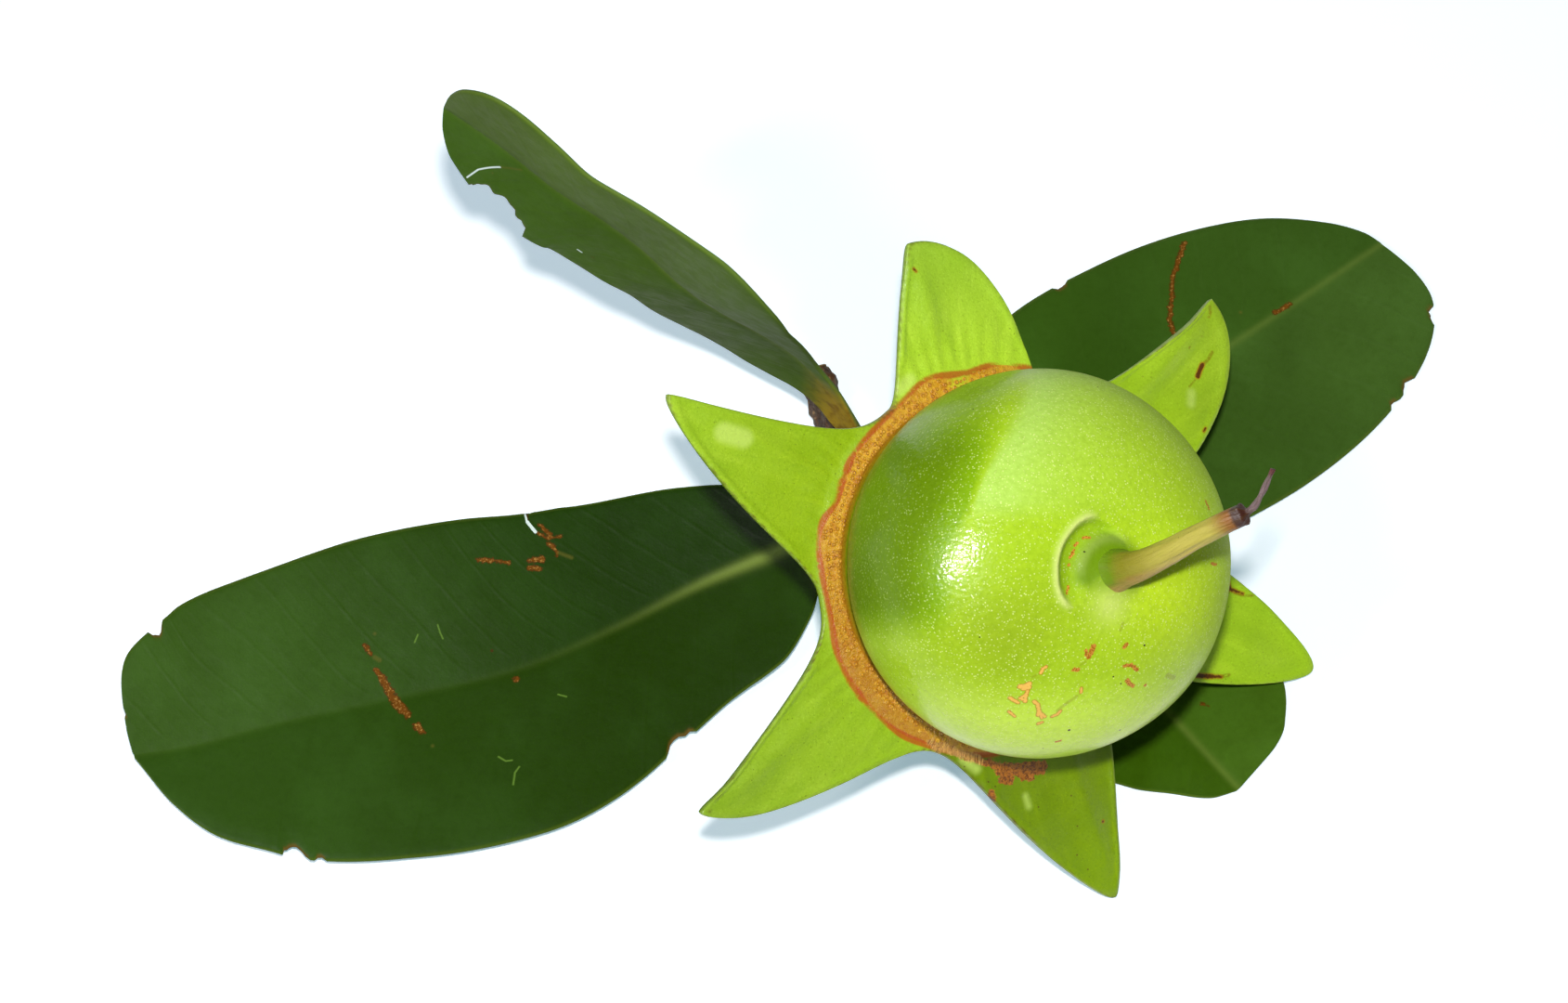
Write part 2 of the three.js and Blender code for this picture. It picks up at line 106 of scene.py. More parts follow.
LEAF_THICK = 0.6
PETIOLE = 1.4
LEAVES = {
    "leaf_lower_left": dict(
        path=[(-19.5, 17.2, 5.2), (-24.7, 14.7, 4.9), (-30.4, 11.7, 3.6), (-41.8, 7.1, 1.8), (-52, 1.9, 0.95),
              (-63.9, -3.4, 0.65), (-82.9, -8, 0.6), (-97.3, -11.4, 0.9), (-105.3, -13.8, 1.3),
              (-113.1, -15.2, 1.8)],
        left=[(0, PETIOLE), (5, PETIOLE), (9, 4.5), (13, 10), (18, 14.1), (30, 16.4), (45, 20.9), (52, 22.1),
              (66, 21.7), (81, 18.8), (90, 14.2), (96, 7), (99, 2.1), (100, 0.4)],
        right=[(0, PETIOLE), (5, PETIOLE), (9, 5), (14, 9.6), (21, 12.5), (36, 17.4), (48, 20.6), (63, 21.4),
               (78, 19.4), (87, 17.4), (93, 14.2), (96, 10.6), (99, 3.5), (100, 0.4)],
        face=[(0, 0, 1), (0, 0, 1)], sweep=(0, 0.45), fold=0.1,
        bites=[(35.2, 19.6, 2.6), (83.4, 18.6, 2), (40.2, -18.8, 0.5), (95.2, -15.9, 1.0),
               (100.9, -5.4, 0.5), (31.5, 18.6, 0.8), (79.6, 19.6, 0.8)]),
    "leaf_upper_left": dict(
        path=[(-21.9, 23.4, 4.4), (-20.9, 24.6, 9), (-21.8, 25.5, 12.2), (-24.5, 28.4, 17),
              (-28.3, 30.7, 22.6), (-33.2, 31.6, 30), (-38.5, 32.2, 37), (-43, 33.2, 43),
              (-47.3, 35.5, 48), (-51.6, 37.5, 52), (-57.3, 40.3, 55), (-63.8, 44.5, 58),
              (-71.8, 49.8, 59.4)],
        left=[(0, PETIOLE), (4, PETIOLE), (8, 3.2), (12, 4.5), (15, 6.3), (18, 9.1), (21, 11), (28, 12.5),
              (36, 12.8), (44, 11.8), (56, 14.3), (68, 14.6), (76, 12.4), (81, 9), (83, 4.6), (83.7, 0.4)],
        right=[(0, PETIOLE), (8, 1.1), (11, 1.5), (16, 2.2), (20, 2.8), (24, 4.1), (32, 8.4), (40, 12.9),
               (48, 17.3), (54, 17.6), (60, 14.8), (66, 12.4), (72, 13.6), (77, 14.2), (81, 9.6),
               (83, 4.6), (83.7, 0.4)],
        face=[(-0.41, -0.89, -0.2), (-0.44, -0.89, 0.12)], sweep=(0, 0), fold=0.117,
        bites=[(71.8, 14.6, 5.4), (68.2, 12.6, 1.5), (75.6, 12.6, 1.6)]),
    "leaf_upper_right": dict(
        path=[(-18, 16.6, 6.4), (-12.4, 15.8, 6.2), (-5, 18, 5.2), (5, 24, 4), (19, 33.7, 2.9),
              (28.4, 40.1, 2.5), (37.9, 46.7, 2.2), (47.5, 53.7, 1.6), (50.9, 56.1, 1.4)],
        left=[(0, PETIOLE), (8, PETIOLE), (12, 6), (19, 13.4), (26, 18.4), (34, 20.2), (45, 19.5), (54, 17.9),
              (63, 14.8), (69, 11.6), (75, 6.4), (78, 2.6), (79, 0.4)],
        right=[(0, PETIOLE), (8, PETIOLE), (12, 6), (19, 13), (28, 18.6), (40, 20.2), (49, 20.7), (58, 19.8),
               (66, 17.3), (72, 13.9), (76, 9.9), (78, 5.4), (79, 0.4)],
        face=[(0, 0, 1), (0, 0, 1)], sweep=(0.1, 0.5), fold=-0.08,
        bites=[(69.9, -18.4, 1.5), (79.6, -12.2, 1.5), (82, -2.6, 1.9), (40.5, 20.3, 0.9), (72.6, 10.9, 0.7),
               (77.6, 6.3, 1.1), (79.9, 2.0, 1.0), (81.6, -8.0, 1.0), (66.8, -18.9, 0.8), (74.4, 9.2, 0.6)]),
    "leaf_lower_right": dict(
        path=[(-17.2, 14, 4.8), (-12.4, 10.6, 3.6), (-6, 8.4, 2.2), (2, 5, 1.1), (10.7, -1.2, 0.7),
              (18.8, -9.5, 0.55), (27.3, -19.3, 0.5)],
        left=[(0, PETIOLE), (6, PETIOLE), (11, 5.4), (19, 11), (30, 15), (42, 15.6), (50, 14.1), (54, 10.9),
              (56, 7.4), (57, 0.4)],
        right=[(0, PETIOLE), (6, PETIOLE), (11, 5), (19, 10), (30, 13.6), (41, 13.4), (48, 10.2), (52, 6.8),
               (55.6, 3.4), (57, 0.4)],
        face=[(0, 0, 1), (0, 0, 1)], sweep=(0, 0), fold=0, bites=[]),
}


def shade(red, green, blue):
    """A screen colour, each part from 0 to 255, as the amounts of light that it stands for."""
    parts = np.array([red, green, blue]) / 255
    light = np.where(parts <= 0.04045, parts / 12.92, ((parts + 0.055) / 1.055) ** 2.4)
    return tuple(float(v) for v in light)


# ---- Settings ----

VEIN_SPACING = 6.5


def colour_setting(name, description, default):
    return bpy.props.FloatVectorProperty(
        name=name, description=description, default=default, subtype="COLOR", size=3, min=0, max=1)


def amount_setting(name, description, default, **limits):
    return bpy.props.FloatProperty(name=name, description=description, default=default, **limits)


class BerrySettings(bpy.types.PropertyGroup):
    """The waxy green berry"""
    flesh: colour_setting("Flesh", "Main green of the berry", shade(178, 216, 40))
    deep: colour_setting("Deep", "Deep green of its shaded flank", shade(110, 146, 0))
    # Painted reflection: the pale milky sheen beside the deep flank.
    milky: colour_setting("Milky", "Pale green beside the deep flank", shade(200, 242, 124))
    dots: colour_setting("Dots", "Tiny pale dots all over the skin", shade(236, 252, 156))
    cork: colour_setting("Cork", "Corky flakes on the lower flank", shade(246, 196, 92))
    dot_spacing: amount_setting(
        "Dot spacing", "Distance between the pale dots, in millimetres", 0.37, min=0.2, max=3)
    peel: amount_setting("Peel", "Depth of the skin's fine dimples", 0.00007, min=0, max=0.001, unit="LENGTH")


class StyleSettings(bpy.types.PropertyGroup):
    """The withered style"""
    stalk: colour_setting("Stalk", "Yellow-olive of the style", shade(196, 184, 72))
    foot: colour_setting("Foot", "Olive-brown foot of the style", shade(168, 134, 36))
    tip: colour_setting("Tip", "Dark brown of the broken end", shade(62, 26, 12))
    thread: colour_setting("Thread", "Grey-pink of the dry thread", shade(122, 98, 100))


class CalyxSettings(bpy.types.PropertyGroup):
    """The six-pointed calyx and its scar ring"""
    ring: colour_setting("Ring", "Orange of the scar ring", shade(222, 170, 36))
    line: colour_setting("Line", "Red-brown line round the ring", shade(184, 76, 16))
    cork: colour_setting("Cork", "Corky brown patches", shade(206, 124, 30))
    edge: colour_setting("Edge", "Thin dark line along the edges", shade(96, 74, 20))
    papilla: amount_setting(
        "Papilla", "Radius of one stamen scar", 0.0003, min=0.0001, max=0.001, unit="LENGTH")


class StemSettings(bpy.types.PropertyGroup):
    """The green pedicel and the barky twig"""
    green: colour_setting("Green", "Green of the pedicel", shade(128, 150, 52))
    bark: colour_setting("Bark", "Brown of the twig's bark", shade(118, 78, 40))
    crevice: colour_setting("Crevice", "Dark brown of the bark's crevices", shade(52, 34, 22))


class LeafSettings(bpy.types.PropertyGroup):
    """The four leaves"""
    rib: colour_setting("Rib", "Pale green of the midrib", shade(126, 146, 64))
    petiole: colour_setting("Petiole", "Orange-tan of the leaf stalks", shade(172, 142, 44))
    scar: colour_setting("Scar", "Rust-brown scars", shade(112, 66, 12))
    under: colour_setting("Underside", "Paler green of the underside", shade(96, 122, 60))
    vein_spacing: amount_setting(
        "Vein spacing", "Distance between side veins, in millimetres", VEIN_SPACING, min=1, max=20)


class StageSettings(bpy.types.PropertyGroup):
    """The paper, the lamps and the camera"""
    paper: colour_setting("Paper", "Colour of the sheet below", (0.95, 0.94, 0.95))
    key: amount_setting("Key", "Power of the lamp above the camera", 1.62, min=0, unit="POWER")
    side: amount_setting("Side", "Power of the soft lamp on the left", 0.62, min=0, unit="POWER")
    gleam: amount_setting("Gleam", "Power of the lamp that gives the highlight", 5.6, min=0, unit="POWER")
    fill: amount_setting("Fill", "Strength of the light from all round", 0.12, min=0)


# ---- Shared tools ----


def along(knots, x):
    """A smooth value at x through a short list of (x, value) knots."""
    x = np.asarray(x, float)
    spots, values = np.array(knots, float).T
    last = len(spots) - 1
    before = np.maximum(np.arange(last + 1) - 1, 0)
    after = np.minimum(np.arange(last + 1) + 1, last)
    slopes = (values[after] - values[before]) / (spots[after] - spots[before])
    i = np.clip(np.searchsorted(spots, x, side="left") - 1, 0, last - 1)
    span = spots[i + 1] - spots[i]
    t = np.clip((x - spots[i]) / span, 0, 1)
    t2, t3 = t * t, t * t * t
    return ((2 * t3 - 3 * t2 + 1) * values[i] + (t3 - 2 * t2 + t) * span * slopes[i]
            + (3 * t2 - 2 * t3) * values[i + 1] + (t3 - t2) * span * slopes[i + 1])


def rise(x, low, high):
    """0 below low, 1 above high and a smooth step between; high may be the smaller."""
    t = np.clip((x - low) / (high - low), 0, 1)
    return t * t * (3 - 2 * t)


def hill(x, width):
    return np.exp(-(np.asarray(x) / width) ** 2)


def unit(v):
    v = np.asarray(v, float)
    return v / np.linalg.norm(v, axis=-1, keepdims=True)


def lumps(points, size, seed, waves=10):
    """Soft random unevenness over points, about -1 to 1, with lumps about size across."""
    rng = np.random.default_rng(seed)
    points = np.asarray(points, float)
    total = np.zeros(points.shape[:-1])
    for _ in range(waves):
        way = unit(rng.normal(size=points.shape[-1])) * rng.uniform(0.6, 1.5) * pi / size
        total += np.sin(points @ way + rng.uniform(0, 2 * pi))
    return total / np.sqrt(waves)


class Path:
    """A smooth curve through points, read by the distance along it."""

    def __init__(self, points, fine=40):
        p = np.array(points, float)
        p = np.vstack([2 * p[0] - p[1], p, 2 * p[-1] - p[-2]])
        gaps = np.linalg.norm(np.diff(p, axis=0), axis=1) ** 0.5
        u = np.linspace(0, 1, fine, endpoint=False)[:, None]
        parts = []
        for i in range(1, len(p) - 2):
            x0, x1, x2, x3 = p[i - 1:i + 3]
            d0, d1, d2 = gaps[i - 1:i + 2]
            a = ((x1 - x0) / d0 - (x2 - x0) / (d0 + d1) + (x2 - x1) / d1) * d1
            b = ((x2 - x1) / d1 - (x3 - x1) / (d1 + d2) + (x3 - x2) / d2) * d1
            parts.append(x1 + a * u + (3 * (x2 - x1) - 2 * a - b) * u**2 + (2 * (x1 - x2) + a + b) * u**3)
        parts.append(p[-2][None])
        self.points = np.vstack(parts)
        steps = np.linalg.norm(np.diff(self.points, axis=0), axis=1)
        self.places = np.concatenate([[0], np.cumsum(steps)])
        self.length = self.places[-1]

    def at(self, distance):
        d = np.clip(distance, 0, self.length)
        return np.stack([np.interp(d, self.places, self.points[:, k]) for k in range(3)], -1)

    def heading(self, distance):
        low = np.clip(np.asarray(distance) - 0.4, 0, self.length - 0.8)
        return unit(self.at(low + 0.8) - self.at(low))


# ---- The fruit's own frame ----

FRUIT_AXIS = np.array([sin(FRUIT_LEAN) * cos(FRUIT_LEAN_TOWARDS), sin(FRUIT_LEAN) * sin(FRUIT_LEAN_TOWARDS),
                       cos(FRUIT_LEAN)])
FRUIT_EAST = unit(np.array([1, 0, 0]) - FRUIT_AXIS[0] * FRUIT_AXIS)
FRUIT_NORTH = np.cross(FRUIT_AXIS, FRUIT_EAST)
FRUIT_TURN = np.array([FRUIT_EAST, FRUIT_NORTH, FRUIT_AXIS])


def on_table(points):
    """Points of the fruit's frame in the frame of the whole sprig."""
    return np.asarray(points, float) @ FRUIT_TURN + FRUIT_MIDDLE


def berry_outline(t):
    """Radius and height of the berry from its base, t = 0, to the middle of its crown, t = 1."""
    turn = pi * np.asarray(t, float)
    power = 2 / BERRY_SQUARENESS
    radius = BERRY_RADIUS * np.maximum(np.sin(turn), 0) ** power
    side = np.abs(np.cos(turn)) ** power
    crown = BERRY_TOP * side - HOLLOW_DEPTH * hill(radius, HOLLOW_RADIUS)
    return radius, np.where(np.asarray(t) < 0.5, -BERRY_BOTTOM * side, crown)


def origin_of_the_part():
    """Where the sprig's frame lies in the part's frame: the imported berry's middle less the modelled one's."""
    radius, height = berry_outline(np.linspace(0, 1, 241))
    turn = np.linspace(0, 2 * pi, 361)[:, None]
    round_skin = on_table(np.stack([radius * np.cos(turn), radius * np.sin(turn), height + 0 * turn], -1))
    modelled = (round_skin.min((0, 1)) + round_skin.max((0, 1))) / 2
    low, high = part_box("berry")
    shift = (np.array(low) + np.array(high)) / 2 / MM - modelled
    return np.array([shift[0], shift[1], 0])


ORIGIN = origin_of_the_part()


# ---- Making pieces ----


def grid(rows, columns, closed):
    """Faces of a grid of points, row after row; closed joins the last column to the first."""
    index = np.arange(rows * columns).reshape(rows, columns)
    if closed:
        index = np.hstack([index, index[:, :1]])
    return np.stack([index[:-1, :-1], index[:-1, 1:], index[1:, 1:], index[1:, :-1]], -1).reshape(-1, 4)


class Skin:
    """The points and faces of one piece, and the values at each point that its finish reads."""

    def __init__(self):
        self.points, self.faces, self.values, self.count = [], [], [], 0

    def add(self, points, faces, **values):
        points = np.asarray(points, float).reshape(-1, 3)
        self.points.append(points)
        self.faces.append(faces + self.count)
        self.values.append((len(points), values))
        self.count += len(points)

    def piece(self, name, node, slot, finish):
        points = (np.vstack(self.points) + ORIGIN) * MM
        mesh = bpy.data.meshes.new(name)
        mesh.from_pydata(points.tolist(), [], np.vstack(self.faces).tolist())
        for key in sorted({key for _, values in self.values for key in values}):
            parts = []
            for count, values in self.values:
                value = np.asarray(values.get(key, 0.0), float)
                wide = 3 if key == "tint" else 1
                parts.append(np.broadcast_to(value.reshape(-1, wide), (count, wide)))
            data = np.vstack(parts)
            if key == "tint":
                layer = mesh.attributes.new(key, "FLOAT_COLOR", "POINT")
                layer.data.foreach_set("color", np.hstack([data, np.ones((len(data), 1))]).ravel())
            else:
                layer = mesh.attributes.new(key, "FLOAT", "POINT")
                layer.data.foreach_set("value", data.ravel())
        body = bmesh.new()
        body.from_mesh(mesh)
        bmesh.ops.remove_doubles(body, verts=body.verts, dist=1e-7)
        bmesh.ops.recalc_face_normals(body, faces=body.faces)
        for face in body.faces:
            face.smooth = True
        body.to_mesh(mesh)
        body.free()
        mesh.materials.append(finish)
        thing = bpy.data.objects.new(name, mesh)
        bpy.context.scene.collection.objects.link(thing)
        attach(thing, "root")
        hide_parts(node)


def stalk(path, start, end, radii, steps, sides, uneven):
    """Points of a round stalk between two distances along a path, closed at both ends, and each one's share
    and turn. uneven gives what is added to the radius at each share and turn."""
    share = np.concatenate([[0], np.linspace(0, 1, steps), [1]])[:, None]
    share, turn = np.broadcast_arrays(share, np.linspace(0, 2 * pi, sides, endpoint=False)[None, :])
    reach = along(radii, share) + uneven(share, turn)
    reach[0], reach[-1] = 0, 0
    places = start + (end - start) * share[:, 0]
    headings = path.heading(places)
    side = np.cross(headings[0], [0.31, 0.42, 0.85])
    sides_out = []
    for heading in headings:
        side = unit(side - (side @ heading) * heading)
        sides_out.append(side)
    first = np.array(sides_out)[:, None, :]
    second = np.cross(headings, np.array(sides_out))[:, None, :]
    points = path.at(places)[:, None, :] + reach[..., None] * (
        np.cos(turn)[..., None] * first + np.sin(turn)[..., None] * second)
    return points, share, turn


def stalk_skin(points, share, turn, **values):
    """The skin of a stalk, with what the streaks of its finish read."""
    made = Skin()
    around = dict(share=share, round_x=np.cos(turn), round_y=np.sin(turn))
    made.add(points, grid(*share.shape, True), **around, **values)
    return made


# ---- Finishes ----


class Amount:
    """A value worked out by a finish's nodes. Arithmetic on it adds the nodes that work out the result."""

    def __init__(self, finish, node, output=0):
        self.finish, self.socket = finish, node.outputs[output]

    def __add__(self, other):
        return self.finish.math("ADD", self, other)

    def __sub__(self, other):
        return self.finish.math("SUBTRACT", self, other)

    def __rsub__(self, other):
        return self.finish.math("SUBTRACT", other, self)

    def __mul__(self, other):
        return self.finish.math("MULTIPLY", self, other)

    def __truediv__(self, other):
        return self.finish.math("DIVIDE", self, other)

    def __abs__(self):
        return self.finish.math("ABSOLUTE", self)


class Finish:
    """One material, built node by node. Its textures read positions in millimetres, and its colour is painted
    coat by coat."""

    def __init__(self, name, **surface):
        self.material = bpy.data.materials.new(name)
        self.material.use_nodes = True
        self.tree = self.material.node_tree
        self.tree.nodes.clear()
        self.output = self.add("ShaderNodeOutputMaterial")
        self.surface = self.add("ShaderNodeBsdfPrincipled")
        self.tree.links.new(self.surface.outputs[0], self.output.inputs[0])
        for key, value in surface.items():
            self.surface.inputs[key.replace("_", " ").title().replace("Ior", "IOR")].default_value = value
        place = Amount(self, self.add("ShaderNodeTexCoord"), "Object")
        self.place = self.vector("SCALE", v0=place, Scale=1 / MM)

    def add(self, kind, inputs=None, **settings):
        node = self.tree.nodes.new(kind)
        for key, value in settings.items():
            setattr(node, key, value)
        for key, value in (inputs or {}).items():
            self.feed(node.inputs[key], value)
        return node

    def feed(self, socket, value):
        if isinstance(value, Amount):
            self.tree.links.new(value.socket, socket)
        elif socket.type == "RGBA" and len(value) == 3:
            socket.default_value = (*value, 1)
        else:
            socket.default_value = value

    def read(self, name, output="Fac"):
        return Amount(self, self.add("ShaderNodeAttribute", attribute_name=name), output)

    def math(self, operation, a, b=0.0):
        return Amount(self, self.add("ShaderNodeMath", operation=operation, inputs={0: a, 1: b}))

    def vector(self, operation, output=0, **inputs):
        inputs = {key if key == "Scale" else int(key[1]): value for key, value in inputs.items()}
        return Amount(self, self.add("ShaderNodeVectorMath", operation=operation, inputs=inputs), output)

    def noise(self, per_mm, detail=2.0, roughness=0.5, at=None):
        return Amount(self, self.add("ShaderNodeTexNoise", inputs={
            "Vector": at or self.place, "Scale": per_mm, "Detail": detail, "Roughness": roughness}))

    def cells(self, per_mm):
        cells = self.add("ShaderNodeTexVoronoi", {"Vector": self.place, "Scale": per_mm})
        return Amount(self, cells, "Distance")

    def step(self, value, low, high, to_low=0.0, to_high=1.0):
        return Amount(self, self.add("ShaderNodeMapRange", interpolation_type="SMOOTHSTEP", inputs={
            0: value, 1: low, 2: high, 3: to_low, 4: to_high}))

    def blend(self, amount, first, second, way="MIX"):
        return Amount(self, self.add("ShaderNodeMix", data_type="RGBA", blend_type=way, inputs={
            0: amount, 6: first, 7: second}), 2)

    def paint(self, amount, colour):
        """Lays a colour over what is there."""
        self.colour = self.blend(amount, self.colour, colour)

    def tone(self, amount, factors):
        """Multiplies the red, green and blue of what is there."""
        self.paint(amount, self.blend(1.0, self.colour, factors, "MULTIPLY"))

    def coordinates(self, x, y, z=0.0):
        return Amount(self, self.add("ShaderNodeCombineXYZ", inputs={0: x, 1: y, 2: z}))

    def streaks(self, detail, roughness, along, round):
        """Noise drawn out along a stalk: how fast it changes along it and round it."""
        return self.noise(1.0, detail, roughness, self.coordinates(
            self.read("share") * along, self.read("round_x") * round, self.read("round_y") * round))

    def strokes(self, rows):
        """How deep each place lies inside the nearest stroke, in millimetres, and below 0 outside. Each row
        is a stroke's half width and the points of its broken line on the piece's map."""
        place, deepest = self.coordinates(self.read("map_x"), self.read("map_y")), -9.0
        for half, line in rows:
            for a, b in zip(line, line[1:] or line):
                off, nearest = place, (*a, 0)
                way = np.subtract(b, a).astype(float)
                if way @ way > 0:
                    off = self.vector("SUBTRACT", v0=place, v1=(*a, 0))
                    share = self.vector("DOT_PRODUCT", 1, v0=off, v1=(*(way / (way @ way)), 0))
                    share = Amount(self, self.add("ShaderNodeClamp", {0: share}))
                    nearest = self.vector("SCALE", v0=(*way, 0), Scale=share)
                gap = self.vector("DISTANCE", 1, v0=off, v1=nearest)
                deepest = self.math("MAXIMUM", deepest, half - gap)
        return deepest

    def frayed(self, depth, per_mm, raggedness, detail=3.0, roughness=0.65):
        """A depth made uneven by noise."""
        return depth + (self.noise(per_mm, detail, roughness) - 0.5) * raggedness

    def ragged(self, depth, per_mm, low, high, raggedness):
        """A crisp, ragged patch where a soft value is deep enough."""
        return self.step(self.frayed(depth, per_mm, raggedness), low, high)

    def bump(self, height, depth, under=None, strength=1.0):
        inputs = {"Height": height, "Distance": depth, "Strength": strength}
        if under is not None:
            inputs["Normal"] = under
        return Amount(self, self.add("ShaderNodeBump", inputs))

    def bumps(self, *coats):
        """Bumps laid one over another: (height, depth) and, where it isn't full, the strength of each."""
        normal = None
        for height, depth, *strength in coats:
            normal = self.bump(height, depth, normal, *strength)
        return normal

    def done(self, roughness, normal):
        for key, value in (("Base Color", self.colour), ("Roughness", roughness), ("Normal", normal),
                           ("Coat Normal", normal)):
            self.feed(self.surface.inputs[key], value)
        return self.material


def berry_finish(looks):
    f = Finish("berry_skin", coat_roughness=0.08, ior=1.42, specular_ior_level=0.18)
    f.feed(f.surface.inputs["Coat Weight"], f.read("glossy"))
    f.colour = f.blend(f.step(f.noise(0.07, 3.0), 0.35, 0.65), looks.flesh, [v * 1.08 for v in looks.flesh])
    # The tint carries the painted light and shade of the skin.
    f.colour = f.blend(1.0, f.colour, f.read("tint", "Color"), "MULTIPLY")
    # Painted reflection: a broad pale sheen right of the flank's edge and low on the west flank.
    f.paint(f.read("milky"), looks.milky)
    # Painted shade: the west flank's saturated green where the painted reflection stops, then its deep green.
    f.paint(f.read("vivid"), shade(138, 186, 0))
    f.paint(f.read("deep"), looks.deep)
    f.tone(f.step(f.noise(1.4, 4.0, 0.7), 0.3, 0.75, 0.0, 0.45), (0.62, 0.7, 0.3))
    dots = f.step(f.cells(1 / looks.dot_spacing), 0.33, 0.15)
    # The dots are painted fainter in the painted shade of the deep flank.
    lit = f.step(f.noise(0.9, 1.0), 0.3, 0.6, 0.25, 0.95) * f.step(f.read("deep"), 0.1, 0.8, 1.0, 0.45)
    f.paint(dots * lit, f.blend(0.75, f.colour, looks.dots))
    # Partly painted shade, darker green in the pit's trench, and partly the mound's own dark olive green.
    f.paint(f.read("pit"), shade(112, 150, 6))
    f.paint(f.read("lip"), shade(222, 236, 140))
    f.paint(f.step(f.strokes(BERRY_STREAKS), -0.2, 0.1, 0.0, 0.4), shade(132, 132, 28))
    flakes = f.frayed(f.strokes(BERRY_FLAKES), 4.0, 0.4)
    cork = f.step(flakes, -0.14, -0.09)
    f.paint(f.step(flakes, -0.25, -0.12, 0.0, 0.5), shade(134, 138, 8))
    f.paint(cork, f.blend(f.step(flakes, -0.11, 0.02), shade(206, 132, 40), looks.cork))
    scabs = f.frayed(f.strokes(BERRY_SCABS), 4.0, 0.6)
    f.paint(f.step(scabs, -0.14, 0.0, 0.0, 0.7), shade(168, 112, 22))
    scab = f.step(scabs, -0.11, -0.02, 0.0, 0.9)
    f.paint(scab, f.blend(f.step(f.noise(5.0), 0.4, 0.6), shade(170, 94, 16), shade(222, 150, 64)))
    f.paint(f.step(f.strokes(BERRY_SPECKS), -0.05, 0.04), shade(44, 40, 14))
    # Painted shadow where the berry sits down in the calyx.
    f.paint(f.read("contact"), shade(66, 42, 12))
    roughness = f.step(f.noise(0.8), 0.3, 0.7, 0.3, 0.4)
    roughness += f.step(f.read("glossy"), 0.3, 0.05, 0.0, 0.3)
    roughness += f.math("MAXIMUM", cork, scab) * 0.3
    return f.done(roughness, f.bumps((f.noise(2.1, 1.5, 0.4), looks.peel), (dots, looks.peel * 0.2)))


def style_finish(looks):
    f = Finish("style_tissue", coat_weight=0.08, coat_roughness=0.3)
    share = f.read("share")
    streaks = f.streaks(3.0, 0.6, 5.0, 2.6)
    f.colour = f.blend(f.step(share, 0.2, 0.42), looks.foot, looks.stalk)
    f.paint(f.read("under") * f.step(share, 0.75, 0.3), shade(216, 164, 112))
    upper = f.step(f.read("under"), 0.3, 0.0) * f.step(share, 0.46, 0.2, 0.0, 0.65)
    f.paint(upper, shade(144, 150, 22))
    patchy = share + (f.noise(0.5, 3.0) - 0.5) * 0.12
    green = f.step(patchy, 0.22, 0.1) * f.step(f.read("under"), 0.6, 0.2, 0.15, 1.0)
    f.paint(green, shade(118, 152, 8))
    f.paint(f.step(share, 0.64, 0.74), shade(148, 92, 16))
    f.paint(f.step(share + streaks * 0.02, 0.752, 0.772), looks.tip)
    f.paint(f.step(share, 0.8, 0.84), looks.thread)
    f.paint(f.step(share, 0.965, 0.99), shade(96, 36, 34))
    f.paint(f.step(streaks, 0.45, 0.7, 0.0, 0.2), shade(122, 92, 14))
    f.paint(f.step(f.noise(2.2, 3.0, 0.6), 0.66, 0.72, 0.0, 0.5), shade(84, 56, 14))
    return f.done(f.step(f.noise(1.0), 0.3, 0.7, 0.42, 0.6),
                  f.bumps((streaks, 0.00025), (f.noise(5.0, 3.0), 0.00006)))


